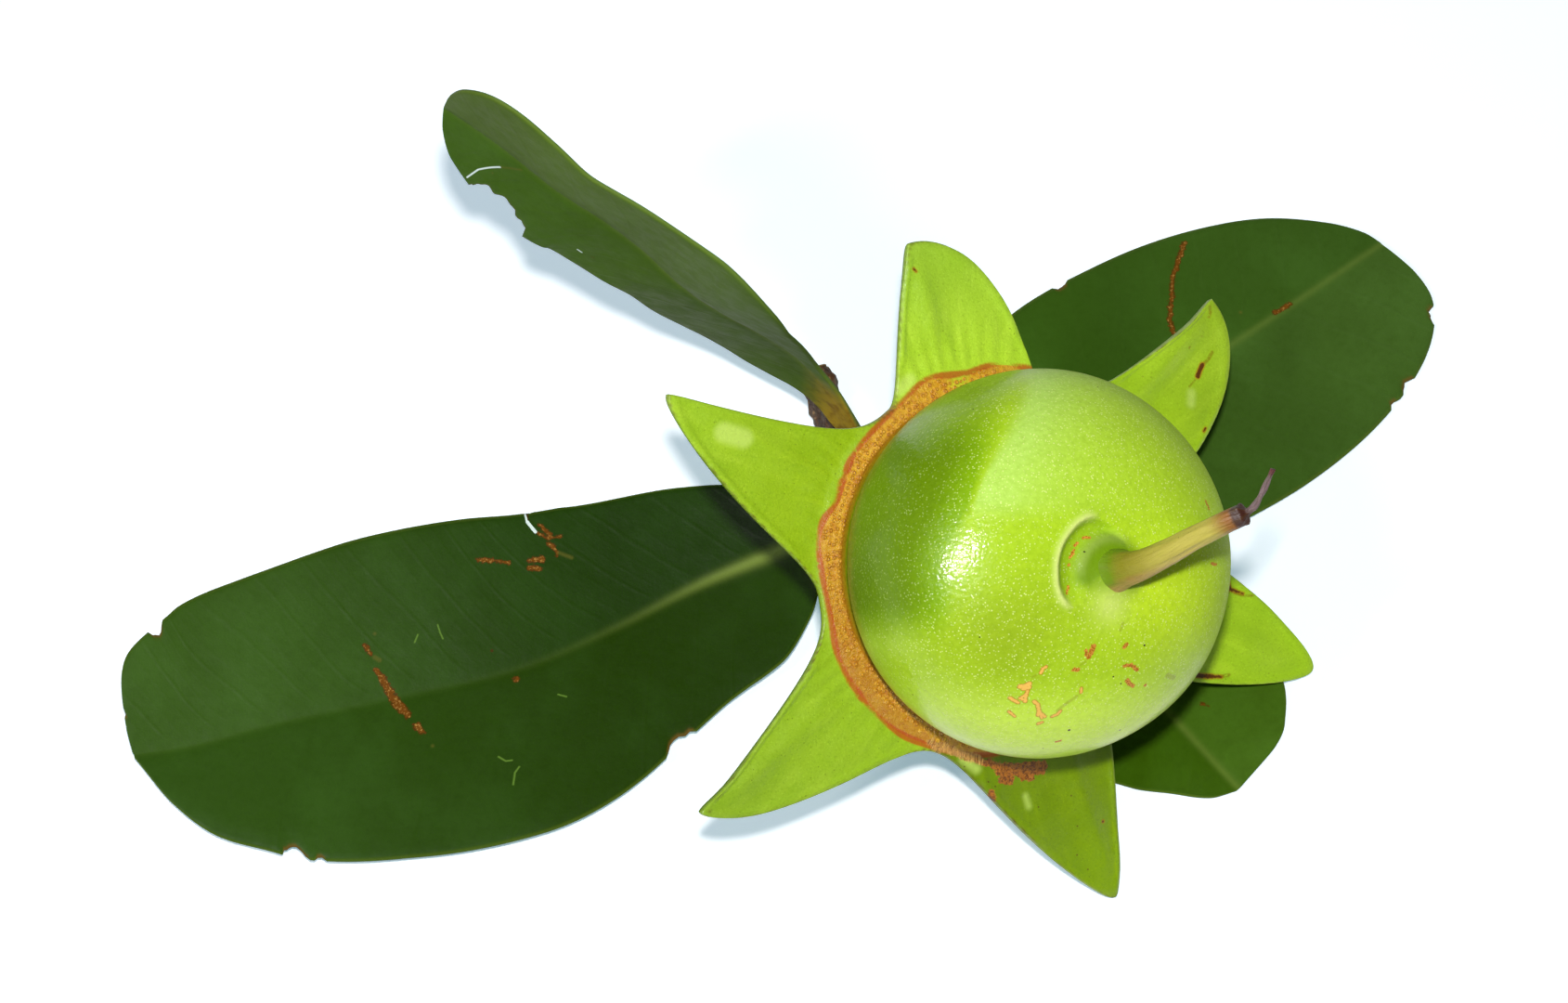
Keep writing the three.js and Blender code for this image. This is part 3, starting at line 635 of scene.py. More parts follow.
def calyx_finish(looks):
    f = Finish("calyx_skin", coat_weight=0.1, coat_roughness=0.25, ior=1.45)
    out, bearing = f.read("out"), f.read("bearing")
    rays = f.noise(1.0, 3.0, 0.55, f.coordinates(bearing * 0.9, out * 0.12))
    ring, top = f.read("ring"), f.read("top")
    f.colour = f.read("tint", "Color")
    f.tone(f.step(f.noise(0.22, 3.0), 0.35, 0.7, 0.0, 0.3), (0.72, 0.8, 0.4))
    f.tone(f.step(rays, 0.5, 0.72, 0.0, 0.3), (1.45, 1.3, 2.2))
    f.tone(f.step(f.noise(3.4, 3.0, 0.7), 0.48, 0.72, 0.0, 0.5), (0.6, 0.68, 0.3))
    specks = f.step(f.cells(1.3), 0.16, 0.07)
    f.paint(specks * f.step(f.noise(0.5), 0.45, 0.6, 0.0, 0.6), shade(92, 104, 8))
    f.tone(f.step(f.cells(2.4), 0.3, 0.1, 0.0, 0.3), (1.6, 1.45, 3.0))
    # Painted highlights on the lobes, which are also made smoother there.
    highlight_patch = f.step(f.strokes(CALYX_HIGHLIGHTS), -0.8, 0.3)
    f.paint(highlight_patch * 0.55, shade(214, 240, 120))
    inner = f.blend(f.step(f.noise(1.2, 3.0, 0.6), 0.38, 0.66), looks.ring, shade(204, 138, 22))
    inner = f.blend(f.step(f.noise(4.5, 3.0, 0.6), 0.5, 0.7, 0.0, 0.4), inner, shade(238, 202, 76))
    spokes = f.noise(1.0, 3.0, 0.6, f.coordinates(bearing * 3.2, out * 0.3))
    inner = f.blend(f.step(spokes, 0.55, 0.75, 0.0, 0.6), inner, shade(158, 86, 18))
    # Painted shade: the ring is darker where it meets the berry, and under the berry's painted shadow.
    inner = f.blend(f.read("foot"), inner, shade(166, 100, 6))
    f.paint(f.ragged(ring, 0.9, 0.42, 0.62, 0.1) * top, inner)
    frayed = f.read("line") * f.step(f.noise(1.6, 4.0, 0.7), 0.1, 0.5)
    f.paint(f.step(frayed, 0.15, 0.7, 0.0, 0.85) * top, looks.line)
    cork = f.ragged(f.strokes(CALYX_CORK), 1.8, -0.12, 0.0, 1.4)
    crust = f.blend(f.step(f.noise(2.6, 4.0, 0.7), 0.36, 0.56), shade(122, 62, 10), looks.cork)
    f.paint(cork, crust)
    fibres = f.ragged(f.strokes(CALYX_FIBRES), 1.8, -0.2, 0.1, 1.0) * 0.8
    threads = f.noise(1.0, 2.0, 0.5, f.coordinates(bearing * 9.0, out * 0.5))
    f.paint(fibres, f.blend(f.step(threads, 0.36, 0.56), shade(150, 80, 14), shade(244, 190, 100)))
    olive = f.step(f.strokes(CALYX_OLIVE), -0.15, 0.12, 0.0, 0.75)
    f.paint(olive * f.step(f.noise(3.0, 3.0), 0.3, 0.5), shade(136, 128, 2))
    marks = f.strokes(CALYX_STAINS)
    f.paint(f.step(marks, -0.28, 0.0, 0.0, 0.75), shade(176, 104, 10))
    f.paint(f.ragged(marks, 4.0, -0.06, 0.06, 0.5), shade(98, 54, 6))
    f.paint(f.step(f.strokes(CALYX_SPECKS), -0.06, 0.05, 0.0, 0.85), shade(84, 52, 10))
    f.paint(f.read("edge_line"), looks.edge)
    f.paint(f.step(f.read("papilla") * f.noise(3.0), 0.1, 0.5, 0.0, 0.85), shade(172, 96, 24))
    # Painted highlights: the pale crowns of the stamen scars.
    f.paint(f.read("dimple") * 0.6, shade(232, 184, 66))
    roughness = f.step(f.noise(0.7), 0.3, 0.7, 0.36, 0.5) - highlight_patch * 0.14 + cork * 0.3
    return f.done(roughness, f.bumps(
        (f.noise(1.6, 3.0, 0.6), 0.00009), (f.noise(5.0, 2.0, 0.6), 0.00003),
        (f.noise(3.2, 4.0, 0.7), 0.0005, f.math("MAXIMUM", cork, fibres)),
        (f.noise(3.6, 3.0, 0.7), 0.0002, ring)))


def pedicel_finish(looks):
    f = Finish("green_stem")
    streaks = f.streaks(3.0, 0.6, 2.0, 5.0)
    f.colour = f.blend(f.step(streaks, 0.35, 0.65), looks.green, [v * 0.6 for v in looks.green])
    f.paint(f.step(f.cells(1.1), 0.2, 0.1, 0.0, 0.7), shade(166, 148, 92))
    return f.done(f.step(f.noise(1.0), 0.3, 0.7, 0.45, 0.6),
                  f.bumps((streaks, 0.0003), (f.noise(3.0, 3.0), 0.0001)))


def twig_finish(looks):
    f = Finish("twig_bark")
    wrinkles = f.streaks(4.0, 0.65, 9.0, 5.0)
    f.colour = f.blend(f.step(wrinkles, 0.38, 0.66), looks.crevice, looks.bark)
    f.paint(f.step(f.noise(0.6, 3.0), 0.5, 0.7, 0.0, 0.5), shade(128, 118, 92))
    f.paint(f.step(f.cells(0.9), 0.26, 0.12, 0.0, 0.8), shade(164, 124, 78))
    f.paint(f.read("cut") * 0.8, shade(188, 164, 112))
    return f.done(f.step(f.noise(0.8), 0.35, 0.65, 0.4, 0.75),
                  f.bumps((wrinkles, 0.0007), (f.noise(3.5, 4.0, 0.7), 0.0002)))


def leaf_finish(looks):
    f = Finish("leaf_blade", specular_ior_level=0.07, ior=1.4)
    down, over = f.read("down"), f.read("over")
    away = abs(over)
    wavy = (f.noise(0.1) - 0.5) * 2.0
    bowed = down - f.math("POWER", away, VEIN_BOW) * VEIN_SLANT
    phase = (bowed + wavy) / looks.vein_spacing
    nearest = abs(f.math("FRACT", phase) - 0.5)
    vein = f.step(nearest, 0.08, 0.0)
    small = abs(f.math("FRACT", phase * 3.0) - 0.5)
    thread = f.step(small, 0.2, 0.0) * 0.35
    veins = f.math("MAXIMUM", vein, thread) * f.step(away, 0.5, 3.0)
    f.colour = f.read("tint", "Color")
    f.paint(f.step(f.noise(0.07, 4.0, 0.6), 0.4, 0.66, 0.0, 0.8),
            f.blend(1.0, f.blend(0.008, f.colour, shade(150, 220, 150)), (1.18, 1.18, 1.2), "MULTIPLY"))
    f.tone(f.step(f.noise(1.1, 4.0, 0.7), 0.4, 0.75, 0.0, 0.4), (0.72, 0.76, 0.5))
    f.tone(f.step(f.noise(6.0, 2.0, 0.6), 0.5, 0.75, 0.0, 0.3), (1.35, 1.3, 1.5))
    f.tone(veins * f.read("pale_veins"), (1.7, 1.5, 2.5))
    f.paint(veins * f.read("dark_veins"), shade(26, 48, 0))
    f.paint(f.read("rib"), looks.rib)
    f.paint(f.step(f.read("margin"), 0.2, 1.0, 0.0, 0.5), shade(104, 126, 44))
    tan = f.blend(f.step(f.noise(0.8, 3.0), 0.4, 0.7), looks.petiole, shade(136, 104, 34))
    f.paint(f.read("petiole"), tan)
    browned = f.frayed(f.strokes(leaf_marks("scars")), 1.3, 1.5, 4.0, 0.75)
    f.paint(f.step(browned, -0.2, -0.05, 0.0, 0.9), shade(84, 48, 8))
    scars = f.step(browned, -0.04, 0.1)
    f.paint(scars, f.blend(f.step(f.noise(3.0, 4.0, 0.7), 0.5, 0.66), looks.scar, shade(178, 134, 66)))
    f.paint(f.step(f.strokes(leaf_marks("faint")), -0.25, 0.15, 0.0, 0.6), shade(98, 96, 34))
    f.paint(f.ragged(f.strokes(leaf_marks("knots")), 3.0, -0.06, 0.04, 0.2), shade(66, 48, 6))
    f.paint(f.read("browned"), shade(120, 78, 40))
    f.paint(f.step(f.strokes(leaf_marks("scratches")), -0.1, 0.05, 0.0, 0.55), shade(120, 160, 62))
    f.paint(f.step(f.strokes(leaf_marks("slits")), -0.06, 0.03), shade(222, 240, 236))
    f.paint(1.0 - f.read("top"), looks.under)
    return f.done(f.step(f.noise(0.5, 3.0), 0.3, 0.7, 0.46, 0.58) + scars * 0.25, f.bumps(
        (veins, 0.00002), (f.noise(0.5, 3.0), 0.00008), (f.noise(3.0, 3.0, 0.6), 0.00002)))


# ---- Berry and style ----

# Strokes on the berry's map, which is its skin laid flat round the crown: (half width, points of the line).
BERRY_FLAKES = [
    (0.22, [(-10.9, -14), (-10.4, -13.9), (-9.9, -13.5)]), (0.17, [(-10.5, -14.3), (-9.8, -14)]),
    (0.12, [(-9.9, -14.6), (-10, -15.1), (-10.6, -15.7), (-10, -15.9)]),
    (0.14, [(-10, -15.1), (-9.9, -16.1)]),
    (0.14, [(-11.8, -15.8), (-11.3, -16.1), (-10.7, -16.4)]), (0.09, [(-11.5, -18), (-10.6, -18.7)]),
    (0.14, [(-8.8, -16), (-8.3, -16.4), (-7.9, -17.3), (-7.6, -17.8), (-6.9, -18.3)]),
    (0.14, [(-7.9, -17.3), (-7.8, -18.1)]), (0.1, [(-7.6, -17.8), (-7.2, -18.6)]),
    (0.11, [(-6, -18.2), (-5.5, -17.9), (-5.2, -17.3)]), (0.1, [(-8.8, -12), (-8.6, -11.4), (-8.3, -11.2)]),
    (0.1, [(-7.4, -19.6), (-7, -19.3)]), (0.08, [(-3.4, -13.9), (-3.3, -14.5)])]
BERRY_SCABS = [
    (0.14, [(-3.6, -9.1), (-3.5, -9.7)]), (0.25, [(-2.7, -8.7), (-2.9, -9.3), (-3.2, -9.9)]),
    (0.21, [(-4.8, -11.5), (-4.3, -11.5)]), (0.17, [(1.4, -8.9), (1.7, -8.6)]),
    (0.16, [(1.7, -11.2), (2.7, -11.1), (3.7, -11.8)]), (0.2, [(2.6, -13.1), (3.1, -13.6), (3.7, -13.9)]),
    (0.14, [(5.6, -14)]), (0.13, [(-3.6, -23.2), (-3.1, -22.9)]), (0.1, [(14.5, 0.5), (15.7, 0.3)]),
    (0.1, [(14.8, 8.1), (15.2, 7.1)]), (0.1, [(-4.9, 3), (-4.5, 3.3)]), (0.09, [(-5.5, 1.6), (-5, 2.5)]),
    (0.11, [(-5.7, 0.8)]), (0.09, [(-3.8, 3.9), (-3.1, 3.9)]), (0.07, [(-6.1, -2.5), (-5.8, -1.7)])]
BERRY_STREAKS = [
    (0.09, [(-3.5, -10.5), (-4.1, -10.9)]), (0.16, [(-5.6, -17.2), (-4.7, -16), (-3.7, -15)]),
    (0.1, [(-9.7, -12.6), (-9.3, -12.3)]), (0.1, [(0.7, -6.9), (1, -6.1)]), (0.3, [(9, -13), (10.5, -13.6)])]
BERRY_SPECKS = [
    (0.18, [(-2.9, -20.6)]), (0.13, [(5.4, -21.5)]), (0.13, [(4.2, -8.8)]), (0.1, [(0.5, -12.5)]),
    (0.12, [(-24.7, -20.6)]), (0.1, [(-15.2, 22.9)]), (0.09, [(3.6, 24.8)]), (0.1, [(1.8, -13.5)]),
    (0.1, [(-4.6, -25.2)]), (0.08, [(-16.4, -7.9)]), (0.1, [(-4, 2.3)])]
PIT_MIDDLE = (-1.6, 0.3)
PIT_RIM = [(-180, 6.1), (-140, 6.3), (-90, 5), (0, 3.6), (38, 4.1), (75, 5.2), (104, 6.3), (140, 6.2),
           (180, 6.1)]
PIT_DEPTH = 0.95
# Where the painted shade of the deep green west flank ends, and the painted reflection beside it begins, as
# (how far back, how far right) of the berry's middle.
FLANK_EDGE = [(-12, -14), (-7.5, -11.8), (-3.2, -11.4), (0.6, -11.4), (5.3, -9.7), (11.7, -7.3), (21, -3.2),
              (24, -2)]
# How far back a place lies as seen from above at a slant: its shares of the way back and of the height.
SLANTED = (0.951, 0.309)
COAT = 0.42


def pit_shape(east, north):
    """The small pit round the style: its trench, its lip, the style's mound and the mound's crest."""
    across, up = east - PIT_MIDDLE[0], north - PIT_MIDDLE[1]
    bearing = np.degrees(np.arctan2(up, across))
    reach = np.hypot(across, up) / along(PIT_RIM, bearing)
    lip = hill(reach - 1.0, 0.08) * rise(np.cos(np.radians(bearing - 162)), 0.35, 0.62)
    trench = rise(reach, 1.02, 0.8) * rise(np.cos(np.radians(bearing - 125)), -0.35, 0.3)
    from_style = np.hypot(east + 0.6, north)
    mound = rise(from_style, 5.2, 3.2)
    crest = hill(from_style - 3.9, 0.6) * rise(np.cos(np.arctan2(north, east) - radians(125)), 0.3, 0.8)
    return trench, lip, mound, crest


def berry_skin():
    around = 400
    t = np.concatenate([np.linspace(0, 0.24, 10, endpoint=False),
                        np.linspace(0.24, 0.84, 120, endpoint=False), np.linspace(0.84, 1, 72)])
    radius, height = berry_outline(t)
    turn = np.linspace(0, 2 * pi, around, endpoint=False)
    east = radius[:, None] * np.cos(turn)
    north = radius[:, None] * np.sin(turn)
    up = height[:, None] + 0 * turn
    skin = np.stack([east, north, up], -1)
    swell = 1 + 0.0035 * lumps(skin, 13, 4) * rise(up, -14, -6)
    crown = rise(up, 8, 12)
    trench, lip, mound, crest = pit_shape(east, north)
    fillet = 0.9 * hill(np.hypot(east, north) - 1.8, 1.6) * (0.55 + 0.45 * rise(north, 1.5, -1.5))
    relief = crown * (0.22 * lip - PIT_DEPTH * trench * (1 - mound) + 0.1 * crest + fillet)
    points = on_table(skin * swell[..., None] + relief[..., None] * np.array([0, 0, 1]))

    # The deep green flank, painted shade where no reflection falls, ends at a line that runs over the berry
    # from its back to the west. Past the line lies a painted reflection, a pale milky sheen.
    right = points[..., 0]
    back = SLANTED[0] * points[..., 1] + SLANTED[1] * (points[..., 2] - FRUIT_MIDDLE[2])
    past = (right - along(FLANK_EDGE, back)) * (0.9 - 0.1 * rise(back, 8, 0))
    kept = rise(back, -10, -3.5) * rise(up, -13, -9)
    blurred = 1.2 + 1.2 * rise(back, 7, 3) + 3.6 * rise(back, 9, 17)
    vivid = rise(past, 0.4 * blurred, -0.6 * blurred) * kept * (1 - 0.6 * rise(back, 13, 19))
    deep = rise(past, 0.5, -4.6) * kept * (1 - 0.35 * rise(past, -7, -12) * rise(back, -2, 10))
    deep = deep * (1 - 0.5 * rise(back, 12, 18))
    # Painted reflection: the pale sheen past the flank's edge, and a pale patch low on the west flank.
    milky = rise(past, 0.0, 0.5 * blurred) * np.exp(-np.maximum(past - 3.5, 0) / 5.5) * rise(back, 4.5, 8)
    milky = np.maximum(0.62 * milky, 0.4 * hill(past + 7.5, 2.6) * hill(back + 13, 4.5) * rise(up, -12, -6))
    # Painted light and shade multiplied into the skin: a painted shade patch left of and below the middle, a
    # painted bright patch on the right, and a painted reflection of the paper that pales the foot.
    painted_dark_patch = hill(np.hypot((right + 5) / 8.5, (back + 8) / 6.5), 1)
    painted_bright_patch = hill(np.hypot((right - 14) / 7, (back + 3) / 7), 1) * rise(up, -9, -4)
    pale = rise(back, -12, -19)
    tint = np.ones(3)
    for amount, factors in ((-painted_dark_patch, [0.24, 0.27, 0.3]), (painted_bright_patch, [0.26, 0.16, 0.1]), (pale, [0.42, 0.3, 2.2])):
        tint = tint * (1 + amount[..., None] * np.array(factors))
    around_crown = np.concatenate([[0], np.cumsum(np.hypot(np.diff(radius), np.diff(height)))])
    laid = (around_crown[-1] - around_crown)[:, None]
    made = Skin()
    in_pit = crown * np.clip(trench + mound + 0.6 * lip, 0, 1)
    glossy = (COAT * (1 - 0.9 * in_pit) * (1 - 0.85 * rise(right + 0.6 * back, 7, 16))
              * (1 - 0.5 * rise(right, -14, -20)))
    made.add(points, grid(len(t), around, True), tint=tint, glossy=glossy,
             deep=0.95 * deep, vivid=0.9 * vivid, milky=milky,
             map_x=laid * np.cos(turn), map_y=laid * np.sin(turn),
             pit=crown * np.clip(0.4 * trench + 0.75 * mound * rise(north, -3.6, -1), 0, 1),
             lip=crown * (0.8 * lip + 0.16 * crest + 0.5 * hill(np.hypot(east + 0.8, north + 3.9) / 2.2, 1)),
             contact=rise(up, -10.6, -11.6) * 0.85)
    return made


def style_skin():
    path = Path(STYLE_PATH)

    def uneven(share, turn):
        wrinkle = 0.05 * np.sin(3 * turn + 9 * share) + 0.035 * np.sin(7 * turn - 16 * share)
        broken = 0.16 * hill(share - 0.785, 0.012) * np.sin(5 * turn)
        gnarl = 0.06 * np.sin(2 * turn + 70 * share) * rise(share, 0.8, 0.84)
        return wrinkle * rise(share, 0.0, 0.06) * (1 - rise(share, 0.76, 0.79)) + broken + gnarl

    points, share, turn = stalk(path, 0, path.length, STYLE_RADII, 260, 40, uneven)
    middle = path.at(path.length * share[:, :1])
    out = points - middle
    under = np.clip(-unit(out + 1e-9) @ unit([-0.3, 0.6, 0.4]), 0, 1)
    return stalk_skin(on_table(points), share, turn, under=under)


# ---- Calyx ----

# Green of each lobe near the ring and near its tip, in the order of LOBES. Besides the lobes' own greens they
# hold painted light and shade: lobes that face away from the light are painted darker, and the first lobe is
# painted lighter where the berry's shadow falls on it.
LOBE_GREENS_AND_LIGHT = [(shade(164, 204, 30), shade(180, 224, 40)), (shade(176, 218, 34), shade(158, 192, 38)),
               (shade(186, 226, 50), shade(160, 202, 50)), (shade(154, 188, 20), shade(166, 206, 44)),
               (shade(156, 192, 36), shade(144, 180, 38)), (shade(108, 134, 0), shade(140, 176, 0))]
# Strokes on the calyx's map, seen along the fruit's axis: (half width, points of the line).
CALYX_CORK = [(0.84, [(1.6, -26), (4.5, -26.1), (7.3, -26)]), (0.62, [(1.9, -27.1), (2.9, -27.3)]),
              (0.51, [(5, -27), (5.9, -27.1)]), (0.39, [(0, -24.9), (0.8, -25.6)]),
              (0.35, [(0.2, -28.7), (0.4, -29.2)]), (0.3, [(-3, -24.2), (0, -25.2)])]
CALYX_FIBRES = [(0.5, [(-8.1, -22.2), (-6.1, -22.9), (-3.8, -23.9), (-1.3, -24.7)]),
                (0.22, [(-7.7, -22.9), (-6.9, -23.4)])]
CALYX_STAINS = [(0.27, [(30.5, 23.9), (30.2, 23.2), (29.9, 22.5)]), (0.18, [(34.2, -3.6), (34.6, -4.5)]),
                (0.15, [(34.6, -4.5), (35.5, -4.8)]), (0.09, [(35.5, -4.8), (36.5, -5.1)]),
                (0.25, [(29.3, -15.2), (30.6, -15.4), (32, -15.5)]), (0.16, [(32, -15.5), (33.4, -15.6)]),
                (0.11, [(30.7, 15.9), (30.5, 15.6)]), (0.08, [(-10.6, 35.5), (-10.3, 35.2)]),
                (0.13, [(16.5, -33.2)]), (0.11, [(0, -29.3), (0.7, -29.8)])]
CALYX_OLIVE = [(0.22, [(31.8, 25.5), (31.4, 24.7), (30.7, 24)]), (0.09, [(29.5, 22), (28.6, 21.2)]),
               (0.2, [(31.4, 31.2), (31.5, 30.6), (31.3, 30)]), (0.18, [(28.4, 26.1)]),
               (0.11, [(30.2, 27.5)]),
               (0.13, [(34.3, -4.7), (36.2, -5.3), (37.8, -5.4)]), (0.2, [(33.4, -15.6), (34.6, -15.4)])]
CALYX_SPECKS = [(0.12, [(-0.2, -27.4)]), (0.11, [(0.8, -28)]), (0.1, [(7.1, -30.9)]), (0.1, [(12.8, -33.6)]),
                (0.1, [(11.7, -29.7)]), (0.11, [(13.1, -37.3)]), (0.1, [(14.7, -39.2)]),
                (0.1, [(-3.4, -25.4)])]
# Painted highlights: the glossy patches on the lobes.
CALYX_HIGHLIGHTS = [(0.29, [(28.8, 20.3), (28.6, 19.1)]), (0.34, [(-3.6, -24.5), (-2.8, -25), (-1.8, -25.7)]),
               (0.1, [(5.3, -29.5), (5.7, -30.7)]), (0.9, [(-35.8, 15.8), (-33.3, 15.1)]),
               (0.5, [(-12.6, 20.8), (-11, 22)])]
# The red-brown line round the ring, as (degrees, radius).
RING_LINE = [(0, 24.1), (75, 24.1), (89, 24), (98, 23.2), (105, 23.4), (111, 23.8), (122, 23), (131, 22.7),
             (146, 22.9), (154, 22.6), (161, 22.4), (167, 23.3), (173, 23.5), (185, 23), (197, 22.9),
             (208, 23.6), (218, 23.9), (229, 24.1), (240, 24.3), (249, 24.1), (360, 24.1)]
RING_INSIDE = 20.7
# The share of the berry's outline that lies in the calyx's cup.
BED_SHARE = 0.283
# The rows of stamen scars on the ring: how far out each lies, and the share of its scars that are missing.
PAPILLA_ROWS = [(21.05, 0.06), (21.7, 0.1), (22.35, 0.3), (23.0, 0.75)]
# One scar's dome from its foot to its middle: radius and height in its own size, how brown, how pale. The
# pale crown is a painted highlight.
PAPILLA_DOME = [(1.05, -0.3, 0, 0.3), (0.92, 0.42, 0.3, 0), (0.62, 0.66, 1, 0), (0.3, 0.36, 0.4, 0.55),
                (0, 0.2, 0, 0.8)]
PAPILLA_SIDES = 8
PAPILLA_SPACING = 2.35
# The calyx's finish reads bearings at this scale. Points that no stroke may reach lie off the map.
BEARING_SCALE = 0.4
OFF_THE_MAP = 99


def calyx_rim(steps):
    """The calyx's outline: radius, bearing and lobe number of each column, closer together at the tips."""
    def rounded(u):
        return np.hypot(u, TIP_BLUNTNESS) - TIP_BLUNTNESS

    radii, bearings, lobes = [], [], []
    for i, lobe in enumerate(LOBES):
        start = LOBES[i - 1]["notch"]
        if i == 0:
            start = (start[0], start[1] - 360)
        for notch, (fullness, sharpness), u in (
                (start, lobe["before"], (np.arange(steps, 0, -1) / steps) ** 1.4),
                (lobe["notch"], lobe["after"], (np.arange(steps) / steps) ** 1.4)):
            tip = lobe["tip"]
            radii.append(notch[0] + (tip[0] - notch[0])
                         * (1 - (rounded(u) / rounded(1)) ** fullness) ** sharpness)
            bearings.append(tip[1] + (notch[1] - tip[1]) * u)
            lobes.append(np.full(steps, i))
    return np.concatenate(radii), np.concatenate(bearings), np.concatenate(lobes)


def calyx_skin(papilla):
    rim, bearing, lobe = calyx_rim(44)
    turn = np.radians(bearing)
    columns = len(rim)
    tips, lifts, hooks = (np.array([each[key] for each in LOBES]) for key in ("tip", "lift", "hook"))
    tip_reach, tip_turn = tips[lobe, 0], np.radians(tips[lobe, 1])
    wander = 0.05 * lumps(np.stack([np.cos(turn), np.sin(turn)], -1) * 24, 9, 8)

    def band(out):
        return RING_RISE * (1 - rise(out, RING_INSIDE, RING_EDGE + 0.3)) + 0.16 * hill(out - 22.9, 0.7)

    def sheet(share, drop, outward=0.0):
        """One row of the lobes, at a share of the way from the ring's foot to the edge."""
        out = RING_FOOT + (rim - RING_FOOT) * share + outward
        along_lobe = out * np.cos(turn - tip_turn)
        across = out * np.sin(turn - tip_turn)
        lifted = lifts[lobe] * (np.maximum(out - RING_FOOT, 0) / (tip_reach - RING_FOOT)) ** 2
        fade = rise(along_lobe, 25, 31) * (1 - rise(along_lobe / tip_reach, 0.86, 1.0))
        keel = 0.34 * hill(across, 1.3) - 0.2 * hill(np.abs(across) - 3.4, 1.9)
        rim_gap = (rim - out) * 0.55
        rolled = 0.2 * hill(rim_gap - 0.5, 0.5) * rise(out, 25, 28)
        ribs = 0.07 * np.sin(turn * 75 + 2.2 * np.sin(turn * 7)) * rise(out, 33, 24.5) * rise(out, 23.6, 25)
        place = np.stack([out * np.cos(turn), out * np.sin(turn)], -1)
        uneven = 0.13 * lumps(place, 5, 21) * rise(out, 24, 27)
        surface = band(out) + fade * keel + rolled + ribs + uneven if drop <= 0.2 else 0 * out
        bent = hooks[lobe] * rise(along_lobe / tip_reach, 0.86, 1.03) ** 1.6
        spot = place + bent[:, None] * np.stack([-np.sin(tip_turn), np.cos(tip_turn)], -1)
        return np.column_stack([spot, RING_HEIGHT - drop + lifted + surface]), out

    def ring_row(out, height):
        level = np.full(columns, height)
        return np.column_stack([out * np.cos(turn), out * np.sin(turn), level]), np.full(columns, out)

    # The rows run from under the berry over the ring and the lobes to their edge, and back below. Each has
    # its share of the upper side's finish.
    bed = np.stack(berry_outline(BED_SHARE * np.linspace(0, 1, 8)), -1) * CUP_FIT
    rows = [(ring_row(r, h), 0.0) for r, h in bed]
    rows += [(ring_row(r, RING_HEIGHT + band(r)), 1.0)
             for r in np.linspace(RING_INSIDE, RING_FOOT, 7, endpoint=False)]
    rows += [(sheet(share, 0), 1.0) for share in 1 - (1 - np.linspace(0, 1, 58)) ** 1.25]
    rows += [(sheet(1.0, drop, outward), kind) for drop, outward, kind in (
        (0.1, 0.08, 1.0), (0.3, 0.14, 0.6), (0.55, 0.14, 0.0), (0.78, 0.07, 0.0))]
    rows += [(sheet(share, LOBE_THICK + (LOBE_EDGE - LOBE_THICK) * share ** 0.8), 0.0)
             for share in (1.0, 0.94, 0.85, 0.74, 0.6, 0.46, 0.32, 0.2, 0.08)]
    cup = Path([(r, 0, h) for r, h in CUP])
    rows += [(ring_row(r, h), 0.0) for r, _, h in cup.at(np.linspace(0, 1, 12) * cup.length)]

    points = np.array([row for (row, _), _ in rows])
    out = np.array([reach for (_, reach), _ in rows])
    top = np.array([kind for _, kind in rows])[:, None] + 0 * out
    flat = points[..., :2]
    edge = np.stack([rim * np.cos(turn), rim * np.sin(turn)], -1)
    gap = np.full(out.shape, 9.0)
    for k in range(0, columns, 2):
        gap = np.minimum(gap, np.linalg.norm(flat - edge[k], axis=-1))

    past = out + wander - along(RING_LINE, bearing % 360)
    ring = rise(past, 0.2, -0.3) * rise(out, 19.5, 20.5)
    thin = 1 - 0.5 * hill((bearing - 102) / 10, 1)
    # Painted shadow of the berry over part of the ring.
    berry_shadow = 0.5 * rise(bearing % 360, 160, 212) * rise(bearing % 360, 262, 240)
    line = hill(past, 0.42) * (0.85 + 0.25 * lumps(edge, 7, 31))
    span = np.clip((out - RING_FOOT) / (tip_reach - RING_FOOT), 0, 1)[..., None]
    greens = np.array(LOBE_GREENS_AND_LIGHT)
    tint = greens[lobe, 0] * (1 - span) + greens[lobe, 1] * span
    # Painted shade: the underside and the sides of the edge are painted darker.
    tint = tint * (1 - 0.4 * (1 - top[..., None]))
    made = Skin()
    made.add(points, grid(len(rows), columns, True), out=out, bearing=bearing * BEARING_SCALE + 0 * out,
             ring=ring * thin, line=np.clip(line, 0, 1), top=top, tint=tint,
             # The ring's foot holds painted shade where it meets the berry, and the painted shadow.
             foot=np.maximum(0.7 * rise(out, 21.2, RING_INSIDE), berry_shadow),
             map_x=np.where(top > 0.3, flat[..., 0], OFF_THE_MAP), map_y=flat[..., 1],
             edge_line=hill(gap, 0.22) * top * 0.7 * (0.6 + 0.4 * lumps(flat, 6, 5)))
    rng = np.random.default_rng(12)
    size = papilla / MM
    radii, heights, browns, pales = np.array(PAPILLA_DOME)[:, :, None].transpose(1, 0, 2)
    corner = np.linspace(0, 2 * pi, PAPILLA_SIDES, endpoint=False)
    dome = np.stack([radii * np.cos(corner), radii * np.sin(corner), heights + 0 * corner], -1)
    for row, (reach, missing) in enumerate(PAPILLA_ROWS):
        count = int(2 * pi * reach / (PAPILLA_SPACING * size))
        for k in range(count):
            spin = 2 * pi * (k + 0.5 * (row % 2) + rng.uniform(-0.25, 0.25)) / count
            far = reach + rng.uniform(-0.14, 0.14)
            if rng.random() < missing or far > along(RING_LINE, np.degrees(spin) % 360) - 0.5:
                continue
